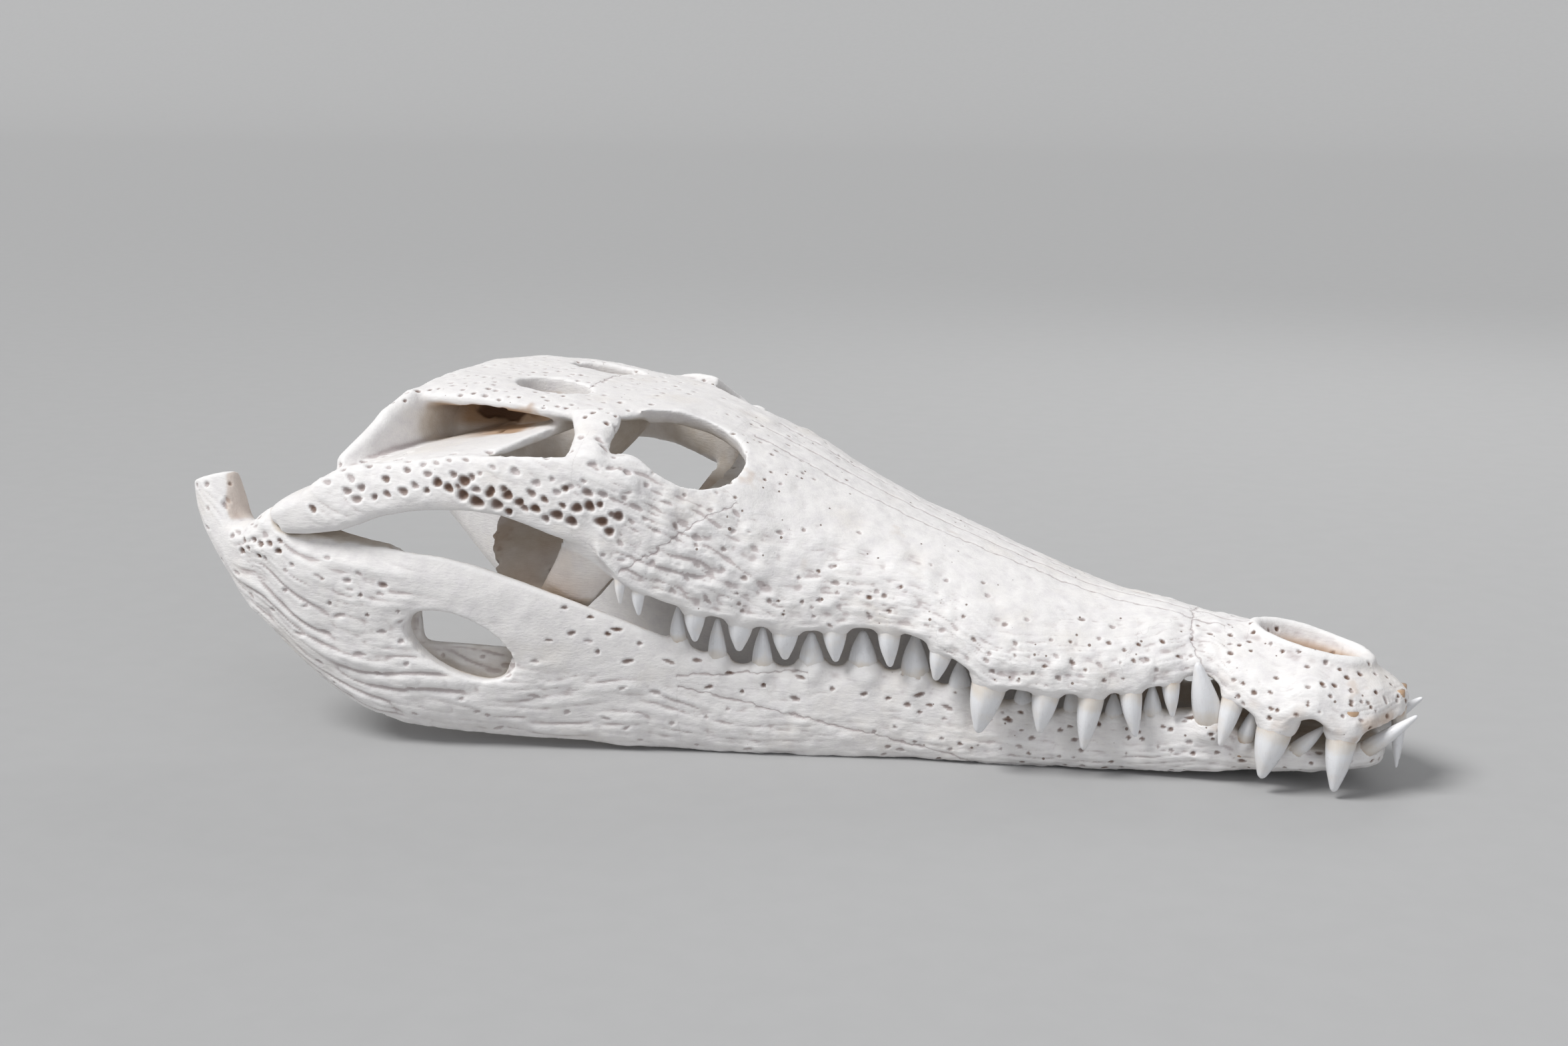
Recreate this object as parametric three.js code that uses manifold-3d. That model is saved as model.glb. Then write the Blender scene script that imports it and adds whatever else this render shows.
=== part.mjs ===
// A life-size crocodile skull that rests on its lower jaw, in millimetres.
// The snout points along +X, +Z is up and the animal's right side is -Y.
// Right-side forms are written with y as the distance from the middle plane; side turns that into -Y or +Y.
import * as THREE from "three";
import { mergeVertices } from "three/addons/utils/BufferGeometryUtils.js";
import Module from "manifold-3d";

const wasm = await Module();
wasm.setup();

// Driving dimensions
const SUTURE = 0.3; // width of the cut that parts one bone from the next
const JOINT_GAP = 0.5; // space kept between the quadrate and the lower jaw
const TABLE_HALF_WIDTH = 60; // flat roof of the skull behind the eyes
const TABLE_FRONT = -46;
const TABLE_REAR = -152;
const ORBIT = { x: -27, y: 50, z: 133, length: 54, width: 48, tilt: 29, lean: 14 };
// The open space beside the brow, and the dip in the eye's outer rim
const BROW_GAP = { x: -66, y: 88, z: 144, length: 56, width: 64, height: 29 };
const RIM_DIP = { x: -20, y: 88, z: 143.5, length: 48, width: 100, height: 48 };
const TEMPLE_HOLE = { x: -97, y: 28, z: 145, length: 34, width: 25 };
const NOSTRIL = { x: 229, z: 58.5, length: 44, width: 30, depth: 12, lean: 13, rim: 4.2 };
const PALATE_HOLE = { x: -8, y: 34, z: 75, length: 74, width: 24, turn: 13 };
const JAW_HOLE = { x: -113, z: 47, length: 48, height: 25, tilt: 26 };
const JAW_SPREAD = 11; // degrees that the rear of each jaw branch turns outwards
const REAR_SPREAD = 0.045; // share by which the rear of the skull and jaw stands wider than its tables say
const SPREAD_START = -95;
const SPREAD_FULL = -165;
const BRAIN_OPENING = { z: 127, width: 13, height: 10 };
const NECK_BALL = { x: -163, z: 112, size: 16 }; // the ball that the neck turns on
const WELD = 1e-4; // points closer than this are one point
const BONE_SIDES = 12;
const TOOTH_SIDES = 5;

const RIGHT = -1;
const LEFT = 1;

// A smooth curve through a few [x, value] points, read at any x.
function profile(...points) {
  const knots = points.toSorted((p, q) => p[0] - q[0]);
  const last = knots.length - 1;
  const slope = (i) => {
    const before = knots[Math.max(i - 1, 0)];
    const after = knots[Math.min(i + 1, last)];
    return (after[1] - before[1]) / (after[0] - before[0]);
  };
  return (x) => {
    if (x <= knots[0][0]) return knots[0][1];
    if (x >= knots[last][0]) return knots[last][1];
    const i = knots.findIndex((k) => k[0] > x) - 1;
    const width = knots[i + 1][0] - knots[i][0];
    const t = (x - knots[i][0]) / width;
    const rise = 3 * t ** 2 - 2 * t ** 3;
    const level = knots[i][1] * (1 - rise) + knots[i + 1][1] * rise;
    const startBend = slope(i) * width * (t ** 3 - 2 * t ** 2 + t);
    const endBend = slope(i + 1) * width * (t ** 3 - t ** 2);
    return level + startBend + endBend;
  };
}

// The rounded-box curve that most sections follow: power 2 is an ellipse, higher powers are boxier.
const boxy = (value, power) => Math.sign(value) * Math.abs(value) ** (2 / power);

// How much wider the skull stands at x, growing smoothly towards the rear.
const spread = (x) => 1 + REAR_SPREAD * THREE.MathUtils.smoothstep(-x, -SPREAD_START, -SPREAD_FULL);

// A closed surface through rings of equally many points, with a fan over each end.
function loft(rings) {
  const sides = rings[0].length;
  const middle = (ring) => {
    const sum = new THREE.Vector3();
    for (const point of ring) sum.add(point);
    return sum.divideScalar(sides);
  };
  const points = [...rings.flat(), middle(rings[0]), middle(rings.at(-1))];
  const firstHub = rings.length * sides;
  const index = [];
  for (let side = 0; side < sides; side++) {
    const next = (side + 1) % sides;
    for (let ring = 0; ring + 1 < rings.length; ring++) {
      const here = ring * sides;
      const there = here + sides;
      index.push(here + side, here + next, there + next);
      index.push(here + side, there + next, there + side);
    }
    const lastRing = firstHub - sides;
    index.push(firstHub, next, side, firstHub + 1, lastRing + side, lastRing + next);
  }
  return new THREE.BufferGeometry().setFromPoints(points).setIndex(index);
}

// A closed three.js geometry as a solid, with its faces turned outwards.
function solid(geometry) {
  const bare = new THREE.BufferGeometry().setAttribute("position", geometry.getAttribute("position"));
  const merged = mergeVertices(bare.setIndex(geometry.index), WELD);
  const vertProperties = Float32Array.from(merged.getAttribute("position").array);
  const triVerts = Uint32Array.from(merged.index.array);
  const build = () => new wasm.Manifold(new wasm.Mesh({ numProp: 3, vertProperties, triVerts }));
  const body = build();
  if (body.volume() > 0) return body;
  triVerts.reverse();
  return build();
}

const join = (bodies) => bodies.reduce((sum, body) => sum.add(body));
const cutAll = (body, cutters) => cutters.reduce((rest, cutter) => rest.subtract(cutter), body);
const onBothSides = (make) => [make(RIGHT), make(LEFT)];

// A plate through ribs: each rib runs from its low point to its high point, with a thickness at each.
// With inset, the points lie on the outer face and the thickness goes in towards the middle plane.
function plate(side, ribs, { steps = 2, power = 2.6, inset = false, grow = 0, sides = BONE_SIDES } = {}) {
  const point = ([x, y, z]) => new THREE.Vector3(x, y * side * spread(x), z);
  const lows = new THREE.CatmullRomCurve3(ribs.map((rib) => point(rib.low)));
  const highs = new THREE.CatmullRomCurve3(ribs.map((rib) => point(rib.high)));
  const thick = new THREE.CatmullRomCurve3(
    ribs.map((rib) => new THREE.Vector3(rib.thick, rib.thickHigh ?? rib.thick, 0)),
  );
  const count = (ribs.length - 1) * steps;
  const rings = [];
  for (let i = 0; i <= count; i++) {
    const t = i / count;
    const low = lows.getPoint(t);
    const high = highs.getPoint(t);
    const { x: thickLow, y: thickHigh } = thick.getPoint(t);
    const rise = high.clone().sub(low);
    const travel = lows.getTangent(t).add(highs.getTangent(t));
    const across = rise.clone().cross(travel).normalize();
    if (inset && across.y * side > 0) across.negate();
    const middle = low.clone().add(high).divideScalar(2);
    const reach = rise.length() / 2 + grow;
    rise.normalize();
    rings.push(
      Array.from({ length: sides }, (_, k) => {
        const angle = (2 * Math.PI * (k + 0.5)) / sides;
        const up = boxy(Math.cos(angle), power);
        const out = boxy(Math.sin(angle), power);
        const half = THREE.MathUtils.lerp(thickLow, thickHigh, (up + 1) / 2) / 2;
        const shift = inset ? half : 0;
        return middle
          .clone()
          .addScaledVector(rise, up * reach)
          .addScaledVector(across, out * (half + grow) + shift);
      }),
    );
  }
  return solid(loft(rings));
}

const rib = (low, high, thick, thickHigh) => ({ low, high, thick, thickHigh });

// A rounded block whose sections stand across the X axis: each station is [x, half width, bottom, top].
function block(stations, power = 2.4, sides = 12) {
  return solid(
    loft(
      stations.map(([x, halfWidth, bottom, top]) =>
        Array.from({ length: sides }, (_, k) => {
          const angle = (2 * Math.PI * (k + 0.5)) / sides;
          const y = halfWidth * boxy(Math.cos(angle), power);
          const z = (top + bottom) / 2 + ((top - bottom) / 2) * boxy(Math.sin(angle), power);
          return new THREE.Vector3(x, y, z);
        }),
      ),
    ),
  );
}

function ellipsoid([x, y, z], [length, width, height], tilt = 0) {
  const ball = new THREE.SphereGeometry(0.5, 12, 7).scale(length, width, height);
  return solid(ball.rotateY(THREE.MathUtils.degToRad(tilt)).translate(x, y, z));
}

// An oval punch along the Z axis.
function punch(length, width, depth, sides = 18) {
  const round = new THREE.CylinderGeometry(0.5, 0.5, depth, sides);
  return round.rotateX(Math.PI / 2).scale(length, width, 1);
}

function box([x, y, z], [length, width, height], turn = 0) {
  const plain = new THREE.BoxGeometry(length, width, height);
  return solid(plain.rotateZ(THREE.MathUtils.degToRad(turn)).translate(x, y, z));
}

// Snout: its half width, the level of its tooth margin, its roof and its palate along X
const snoutHalfWidth = profile(
  [269.5, 3], [268, 8], [264, 15], [257, 25], [246, 33], [232, 37], [220, 37.5], [206, 33], [190, 26.5],
  [179, 32], [164, 38.5], [149, 44], [129, 50], [109, 54], [93, 53.5], [73, 53], [50, 55.5], [22, 61.5],
  [-3, 70], [-25, 79], [-42, 86], [-50, 89],
);
const snoutMargin = profile(
  [269.5, 35], [268, 33], [264, 31], [257, 30], [246, 28], [233, 37], [221, 30], [206, 38], [191, 47],
  [179, 44], [164, 41], [149, 39], [129, 40], [109, 41], [97, 49], [84, 56], [73, 60], [51, 61], [22, 59],
  [-3, 64], [-25, 71], [-42, 80], [-50, 90],
);
const snoutRoof = profile(
  [269.5, 38], [268, 40.5], [262, 45], [251, 50.5], [224, 57], [203, 62], [174, 67.5], [140, 73],
  [117, 80.5], [96, 88], [72, 96.5], [47, 107], [22, 118.5], [0, 128.5], [-22, 138], [-38, 143.5], [-50, 145],
);
const snoutPalate = profile(
  [269.5, 36.5], [262, 37], [247, 38], [220, 41], [191, 50], [164, 48], [129, 47], [109, 50], [90, 57],
  [73, 64], [51, 66], [22, 66], [-3, 70], [-25, 77], [-50, 92],
);
const snoutBoxiness = profile([269, 2.1], [200, 2.2], [40, 2.5], [0, 3.1], [-25, 3.6], [-50, 4]);
const SNOUT_STATIONS = [
  269.5, 267.5, 262.5, 256.5, 250.5, 243.5, 236, 228, 220, 212, 204.5, 197.5, 191, 184.5, 177, 168.5,
  159, 148, 136, 122, 109, 100, 91, 82, 71, 59, 46, 33, 20, 8, -4, -15, -26, -38, -50,
];

// The section of the snout at x: a dome over a shallow palate between two tooth ridges.
function snoutSection(x) {
  const half = snoutHalfWidth(x);
  const margin = snoutMargin(x);
  const roof = snoutRoof(x);
  const palate = Math.max(snoutPalate(x), margin + 1);
  const power = snoutBoxiness(x);
  const domeSteps = 14;
  const dome = Array.from({ length: domeSteps + 1 }, (_, k) => {
    const angle = (Math.PI * k) / domeSteps;
    const y = -half * boxy(Math.cos(angle), power);
    return [y, margin + (roof - margin) * boxy(Math.sin(angle), power)];
  });
  const ridge = Math.min(3, half / 4);
  const under = [
    [0.95, margin - ridge / 2],
    [0.82, margin - ridge / 6],
    [0.66, THREE.MathUtils.lerp(margin, palate, 0.8)],
    [0.36, palate + ridge / 3],
    [0, palate + ridge / 2],
  ];
  const otherSide = under.slice(0, -1).reverse();
  const mirrored = otherSide.map(([share, z]) => [-share, z]);
  const floor = [...under, ...mirrored].map(([share, z]) => [share * half, z]);
  return [...dome, ...floor].map(([y, z]) => new THREE.Vector3(x, y, z));
}

// The room for the eyes inside the snout's rear end, open behind.
function eyeRoom() {
  const stations = [38, 32, 22, 8, -8, -26, -44, -60];
  const shrink = [0.2, 0.62, 0.84, 1, 1, 1, 1, 1];
  return block(
    stations.map((x, i) => {
      const floor = snoutPalate(x) + 6;
      const ceiling = snoutRoof(x) - 7;
      const middle = (floor + ceiling) / 2;
      const half = ((ceiling - floor) / 2) * shrink[i];
      return [x, (snoutHalfWidth(x) - 7) * shrink[i], middle - half, middle + half];
    }),
    2.3,
    14,
  );
}

function nostril() {
  const rimDepth = 12;
  const rim = punch(NOSTRIL.length + 2 * NOSTRIL.rim, NOSTRIL.width + 2 * NOSTRIL.rim, rimDepth);
  rim.rotateY(THREE.MathUtils.degToRad(NOSTRIL.lean)).translate(NOSTRIL.x, 0, NOSTRIL.z - rimDepth / 2);
  const bowl = ellipsoid(
    [NOSTRIL.x, 0, NOSTRIL.z],
    [NOSTRIL.length, NOSTRIL.width, NOSTRIL.depth * 2],
    NOSTRIL.lean,
  );
  return { rim: solid(rim), bowl };
}

// Cheek: the jugal bar that runs back under the eye to the jaw joint
const CHEEK_RIBS = [
  rib([-34, 80, 77], [-34, 82, 122], 7),
  rib([-49, 88, 90], [-52, 87, 130], 7),
  rib([-68, 93, 97], [-70, 91, 131], 7),
  rib([-91, 97, 105], [-92, 94, 131], 7),
  rib([-115, 101, 107], [-112, 95, 130], 8),
  rib([-141, 103.5, 104], [-135, 96, 127], 9),
  rib([-161, 105, 97], [-160, 97, 124], 10),
  rib([-178, 105, 94], [-176, 101, 115], 11),
  rib([-189, 104, 93], [-190, 102, 103], 10),
];

// Quadrate: from the braincase out and back to the jaw joint
const QUADRATE_RIBS = [
  rib([-68, 18, 142], [-97, 88, 129], 5),
  rib([-103, 18, 134], [-115, 94, 126], 6),
  rib([-127, 24, 127], [-136, 97, 123], 8),
  rib([-148, 36, 120], [-156, 99, 116], 12),
  rib([-168, 60, 110], [-174, 102, 107.5], 15),
  rib([-184, 70, 102], [-187, 104, 101], 16),
  rib([-193, 74, 99.5], [-195, 101, 99.5], 10),
];

// Bar behind the eye: from the cheek up to the roof
const BAR_RIBS = [
  rib([-48, 82, 127], [-66, 84, 127], 10),
  rib([-51, 68, 135.5], [-69, 69, 136], 9),
  rib([-50, 54, 142], [-77, 55, 143], 9),
];

// Strut from the cheek down to the pterygoid's wing
const STRUT_RIBS = [
  rib([-36, 79, 84], [-62, 88, 103], 7),
  rib([-48, 76, 78], [-72, 80, 88], 8),
  rib([-62, 69, 63], [-86, 71, 68], 8),
];

// Braincase and the keel below it: [x, half width, bottom, top]
const BRAINCASE = [
  [-64, 8, 130, 146], [-76, 12, 118, 148], [-92, 18, 104, 149], [-108, 25, 96, 150], [-126, 31, 96, 150],
  [-142, 34, 102, 150], [-154, 32, 105, 148],
];
const KEEL = [[-92, 10, 84, 108], [-108, 13, 84, 112], [-124, 14, 87, 112], [-138, 12, 97, 112]];

// Rear wall: from one paroccipital wing to the other
const REAR_WALL_RIBS = [
  rib([-168, 87, 114], [-169, 86, 125], 7),
  rib([-164, 77, 113], [-162, 76, 134], 10),
  rib([-160, 67, 112], [-157, 68, 143], 11),
  rib([-156, 55, 112], [-151, 57, 150], 12),
  rib([-153, 32, 108], [-148, 34, 151], 12),
  rib([-152, 0, 104], [-147, 0, 152], 13),
];

// Pterygoid: a thin wing on each side of the middle, under the braincase
const WING_RIBS = [
  rib([-72, 73, 60], [-98, 73, 63], 9),
  rib([-62, 66, 64], [-106, 67, 68], 7),
  rib([-57, 55, 71], [-114, 58, 75], 6),
  rib([-54, 36, 79], [-123, 42, 84], 6),
  rib([-50, 16, 84], [-129, 20, 91], 8),
  rib([-48, 0, 85], [-130, 0, 92], 9),
];

const acrossTheMiddle = (ribs) => [
  ...ribs,
  ...ribs
    .slice(0, -1)
    .reverse()
    .map(({ low, high, ...thickness }) => ({
      low: [low[0], -low[1], low[2]],
      high: [high[0], -high[1], high[2]],
      ...thickness,
    })),
];

// The flat roof behind the eyes, highest along its middle.
function table() {
  const halfWidth = profile(
    [TABLE_FRONT, 34], [-54, 46], [-62, 54], [-72, 57.5], [-86, 59], [-110, TABLE_HALF_WIDTH],
    [-140, TABLE_HALF_WIDTH], [TABLE_REAR, 55],
  );
  const crest = profile(
    [TABLE_FRONT, 145.5], [-57, 146.5], [-75, 148.5], [-97, 152], [-123, 154], [TABLE_REAR, 153.5],
  );
  const thickness = profile([TABLE_FRONT, 6.5], [-62, 8.5], [-80, 11], [TABLE_REAR, 11.5]);
  const stations = [TABLE_FRONT, -54, -62, -72, -86, -100, -120, -138, -147, TABLE_REAR];
  const sides = 16;
  return solid(
    loft(
      stations.map((x) =>
        Array.from({ length: sides }, (_, k) => {
          const angle = (2 * Math.PI * (k + 0.5)) / sides;
          const across = boxy(Math.cos(angle), 2.8);
          const droop = 1.6 * across ** 2;
          const z = crest(x) - thickness(x) / 2 - droop + (thickness(x) / 2) * boxy(Math.sin(angle), 2.8);
          return new THREE.Vector3(x, halfWidth(x) * across, z);
        }),
      ),
    ),
  );
}

// Upper teeth from the snout's tip back: [x, width, level of the tip, forward lean, outward lean].
// The second one is lost.
const UPPER_TEETH = [
  [246.2, 11.5, 3.1, -2.4], [220.9, 13.5, 6.7, -5.4], [203.5, 8.8, 18.4, -4.8, 4.5],
  [177.3, 7, 28.1, 1.5], [161.7, 8.9, 19.8, 3.3], [147.6, 10.2, 13.3, -3.1], [130, 11, 20, -2.8],
  [107.1, 14, 18.2, -5.2], [87, 9.7, 39.2, -3.2], [63.5, 9.7, 43.2, 0.8], [40.8, 10.4, 44, 0.7],
  [20.5, 11.5, 44, 0], [3.2, 11, 47.5, -1.2], [-14.7, 9.5, 52, 0], [-36, 5.9, 64, 0.5],
  [-42.6, 4.6, 69, 0.2],
];
const FRONT_UPPER_TOOTH = { root: [265.5, 5.3, 34], tip: [266, 5.4, 9], width: 4.6 };

// Lower teeth in the same form, from the notch tooth back
const LOWER_TEETH = [
  [170.1, 7.7, 39.6, -0.7], [154.1, 7.5, 34.4, -0.4], [137.3, 8.2, 37.8, -0.4], [116.7, 8.2, 36.3, -0.3],
  [90.5, 9.9, 44.3, -0.2], [71.8, 12, 55, -0.2], [50.3, 12.5, 55.5, -0.1], [29.4, 10.9, 54.5, -0.1],
  [9.6, 8.9, 56.5, 0.1], [-8.5, 7.9, 60, 0.1], [-24.6, 6.9, 65, 0.2],
];
const FRONT_LOWER_TEETH = [
  { root: [252, 13.5, 16], tip: [273.5, 13.5, 34], width: 6.5 },
  { root: [226, 20, 15], tip: [238.5, 21.5, 28], width: 6.5 },
  { root: [206.5, 22.5, 18], tip: [212, 23.5, 35], width: 6.4 },
  { root: [194, 23.5, 24], tip: [188.5, 31.5, 52.6], width: 12 },
];

// A tooth: a curved cone whose root is sunk in the bone.
function tooth(side, root, tip, width) {
  const base = new THREE.Vector3(root[0], root[1] * side, root[2]);
  const point = new THREE.Vector3(tip[0], tip[1] * side, tip[2]);
  const axis = point.clone().sub(base);
  const bow = new THREE.Vector3(0, side, 0).multiplyScalar(axis.length() * 0.05);
  const forward = new THREE.Vector3(1, 0, 0);
  const out = axis.clone().normalize().cross(forward).normalize();
  const along = out.clone().cross(axis).normalize();
  const levels = [[-0.25, 0.48], [0.5, 0.38], [0.98, 0.06]]; // share of the length, share of the width
  const rings = levels.map(([share, radius]) => {
    const centre = base.clone().addScaledVector(axis, share);
    centre.addScaledVector(bow, Math.sin(Math.PI * share));
    return Array.from({ length: TOOTH_SIDES }, (_, k) => {
      const angle = (2 * Math.PI * k) / TOOTH_SIDES;
      return centre
        .clone()
        .addScaledVector(along, Math.cos(angle) * radius * width)
        .addScaledVector(out, Math.sin(angle) * radius * width * 0.9);
    });
  });
  return solid(loft(rings));
}

function upperTeeth(side) {
  const row = UPPER_TEETH.map(([x, width, tipLevel, lean, flare = 1.2]) => {
    const y = snoutHalfWidth(x) * 0.97 - width / 2 - 0.5;
    return tooth(side, [x, y, snoutMargin(x) + 1.5], [x + lean, y + flare, tipLevel], width);
  });
  const front = FRONT_UPPER_TOOTH;
  return join([...row, tooth(side, front.root, front.tip, front.width)]);
}

// Lower jaw: the outer face of each branch, from its bottom edge to its top edge
const JAW_RIBS = [
  rib([206, 23, 3.4], [206, 24, 22], 15),
  rib([190, 26, 2.2], [190, 29, 30], 16),
  rib([170, 27, 1.2], [170, 29, 27], 15),
  rib([150, 28.5, 0.2], [150, 29.5, 24], 15),
  rib([122, 32, -0.5], [122, 33, 26], 15),
  rib([90, 37.5, -0.7], [90, 39, 31], 15),
  rib([65, 42, -0.8], [65, 44.5, 38.5], 15),
  rib([36, 49, -0.9], [36, 51, 40], 15, 13),
  rib([1, 57, -0.9], [1, 60, 40], 15, 12),
  rib([-21, 62.5, -0.8], [-21, 67, 49], 15, 10),
  rib([-44, 69.5, 0], [-42, 75.5, 59], 16, 9),
  rib([-70, 77, 1.8], [-67, 83.5, 69], 18, 9),
  rib([-99, 85, 2.6], [-92, 91.5, 78], 22, 12),
  rib([-129, 91.5, 6], [-118, 98, 86], 24, 18),
  rib([-158, 96, 12.5], [-151, 103, 89], 26, 26),
  rib([-186, 98, 29.5], [-180, 106, 93], 26, 34),
  rib([-207, 98, 48.5], [-199, 105, 103], 24, 30),
  rib([-219, 96.5, 61], [-211, 100, 96], 20, 26),
  rib([-232, 94, 80], [-219, 96, 95], 16, 22),
  rib([-242, 90, 98], [-221, 90, 106], 13, 17),
  rib([-245.3, 87, 110], [-224, 86.5, 116], 10, 12),
];

// The groove down the front of the jaw's heel
const HEEL_GROOVE = { x: -217, y: 93, z: 110, length: 15, width: 10, height: 36 };

// The chin, where both branches meet: [x, half width, bottom, top]
const CHIN = [
  [260.8, 4, 11, 15], [259.3, 10, 9.5, 18.5], [255, 16.5, 8, 20.5], [246, 21, 6.8, 21],
  [236, 23.5, 5.8, 19.5], [222, 24.5, 4.3, 19], [208, 24.5, 3.2, 22], [200, 25, 2.8, 25],
  [193, 27.5, 2.4, 28.5], [187, 24, 2.4, 27], [182, 15, 4, 23],
];

// The hollow in the rear of each branch, open above and inwards, where the jaw muscle sat
const JAW_TROUGH_RIBS = [
  rib([-74, 70, 34], [-72, 72.5, 100], 3),
  rib([-84, 72.5, 24], [-82, 76.5, 106], 6),
  rib([-98, 75.5, 21], [-96, 80.5, 112], 8.5),
  rib([-118, 80, 22], [-116, 86, 120], 10),
  rib([-134, 83.5, 34], [-133, 90, 124], 9),
  rib([-144, 86, 56], [-144, 92, 124], 5),
];

const jawTop = profile(...JAW_RIBS.slice(0, 12).map(({ high }) => [high[0], high[2]]));
const jawOuter = profile(...JAW_RIBS.slice(0, 12).map(({ high }) => [high[0], high[1]]));

function lowerTeeth(side) {
  const row = LOWER_TEETH.map(([x, width, tipLevel, lean]) => {
    const y = jawOuter(x) - width / 2 - 1.2;
    return tooth(side, [x, y, jawTop(x) - 2.5], [x + lean, y + 0.6, tipLevel], width);
  });
  const front = FRONT_LOWER_TEETH.map(({ root, tip, width }) => tooth(side, root, tip, width));
  return join([...row, ...front]);
}

function craniumBody() {
  const { rim, bowl } = nostril();
  const snout = solid(loft(SNOUT_STATIONS.map(snoutSection)));
  const orbits = onBothSides((side) => {
    const hole = punch(ORBIT.length, ORBIT.width, 70);
    hole.rotateX(THREE.MathUtils.degToRad(-side * ORBIT.tilt));
    hole.rotateY(THREE.MathUtils.degToRad(ORBIT.lean)).translate(ORBIT.x, ORBIT.y * side, ORBIT.z);
    return solid(hole);
  });
  const palateHoles = onBothSides((side) => {
    const hole = punch(PALATE_HOLE.length, PALATE_HOLE.width, 60);
    hole.rotateZ(THREE.MathUtils.degToRad(-side * PALATE_HOLE.turn));
    return solid(hole.translate(PALATE_HOLE.x, PALATE_HOLE.y * side, PALATE_HOLE.z));
  });
  const browGaps = onBothSides((side) => [
    box([BROW_GAP.x, BROW_GAP.y * side, BROW_GAP.z], [BROW_GAP.length, BROW_GAP.width, BROW_GAP.height]),
    ellipsoid([RIM_DIP.x, RIM_DIP.y * side, RIM_DIP.z], [RIM_DIP.length, RIM_DIP.width, RIM_DIP.height]),
  ]).flat();
  const face = cutAll(snout.add(rim), [bowl, eyeRoom(), ...palateHoles, ...browGaps]);

  const ballSize = [NECK_BALL.size, NECK_BALL.size, NECK_BALL.size];
  const neckBall = ellipsoid([NECK_BALL.x, 0, NECK_BALL.z], ballSize);
  const rearWall = plate(RIGHT, acrossTheMiddle(REAR_WALL_RIBS), { steps: 1 });
  const wings = plate(RIGHT, acrossTheMiddle(WING_RIBS), { steps: 2, sides: 10 });
  const paired = onBothSides((side) => [
    plate(side, CHEEK_RIBS, { inset: true }),
    plate(side, QUADRATE_RIBS),
    plate(side, BAR_RIBS, { power: 2.2, sides: 10 }),
    plate(side, STRUT_RIBS, { steps: 2, sides: 10 }),
    upperTeeth(side),
  ]).flat();

  const templeHoles = onBothSides((side) => {
    const hole = punch(TEMPLE_HOLE.length, TEMPLE_HOLE.width, 60);
    return solid(hole.translate(TEMPLE_HOLE.x, TEMPLE_HOLE.y * side, TEMPLE_HOLE.z));
  });
  const brainTunnel = punch(BRAIN_OPENING.height, BRAIN_OPENING.width, 40, 12).rotateY(Math.PI / 2);
  const brainOpening = solid(brainTunnel.translate(NECK_BALL.x, 0, BRAIN_OPENING.z));
  const whole = join([face, table(), block(BRAINCASE), block(KEEL), neckBall, rearWall, wings, ...paired]);
  return cutAll(whole, [...orbits, ...templeHoles, brainOpening]);
}

function jawBody(side) {
  const branch = plate(side, JAW_RIBS, { inset: true });
  const trough = plate(side, JAW_TROUGH_RIBS, { sides: 10 });
  const innerWindow = box([-112, 70 * side, 90], [52, 22, 92], -side * JAW_SPREAD);
  const outerHole = punch(JAW_HOLE.length, JAW_HOLE.height, 40).rotateX(Math.PI / 2);
  outerHole.rotateY(THREE.MathUtils.degToRad(JAW_HOLE.tilt)).translate(JAW_HOLE.x, 100 * side, JAW_HOLE.z);
  const socket = plate(side, QUADRATE_RIBS, { grow: JOINT_GAP });
  const cheekEnd = plate(side, CHEEK_RIBS, { inset: true, grow: JOINT_GAP });
  const heelGroove = ellipsoid(
    [HEEL_GROOVE.x, HEEL_GROOVE.y * side, HEEL_GROOVE.z],
    [HEEL_GROOVE.length, HEEL_GROOVE.width, HEEL_GROOVE.height],
  );
  const chin = block(CHIN);
  const ownHalf = box([0, 300 * side + (SUTURE / 2) * side, 300], [1200, 600, 600]);
  const bone = cutAll(branch, [trough, innerWindow, solid(outerHole), socket, cheekEnd, heelGroove]);
  return join([bone, chin]).add(lowerTeeth(side)).intersect(ownHalf);
}

// Thin cuts that part the cranium into its bones
const ROOF_CUT = 137;
const FLOOR_CUT = 98;
const cutAcross = (x, y, z, width, height) => box([x, y, z], [SUTURE, width, height]);
const cutLevel = (x, y, z, length, width) => box([x, y, z], [length, width, SUTURE]);
const cutAlong = (x, y, z, length, height, turn = 0) => box([x, y, z], [length, SUTURE, height], turn);

function craniumCuts() {
  return [
    cutAcross(192, 0, 50, 160, 100),
    cutLevel(6, 0, 122, 60, 180),
    cutLevel(-124, 0, ROOF_CUT, 152, 240),
    cutLevel(-104, 0, FLOOR_CUT, 112, 110),
    cutAcross(-47, 0, 80, 64, 50),
    ...onBothSides((side) => [
      cutAcross(-48, 86 * side, 100, 62, 80),
      cutAlong(-108, 98 * side, 115, 60, 70, side * -47),
      cutAlong(-140, 52 * side, (ROOF_CUT + FLOOR_CUT) / 2, 170, ROOF_CUT - FLOOR_CUT + SUTURE),
      cutAlong(-58, 75 * side, 88, 60, 50, side * -14),
    ]).flat(),
  ];
}

// A point well inside each bone, by which it is found after the cuts
const CRANIUM_PARTS = {
  premaxilla: [215, 0, 50],
  maxilla: [120, 0, 65],
  skull_roof: [-135, 0, 150],
  braincase: [-130, 0, 120],
  pterygoid: [-100, 0, 88],
  jugal_right: [-75, -90, 115],
  jugal_left: [-75, 90, 115],
  quadrate_right: [-184, -88, 101],
  quadrate_left: [-184, 88, 101],
};
const JAW_CUT = -60;
const bonePaint = { color: 0xe9e4dc, roughness: 0.62, metalness: 0 };

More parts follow.
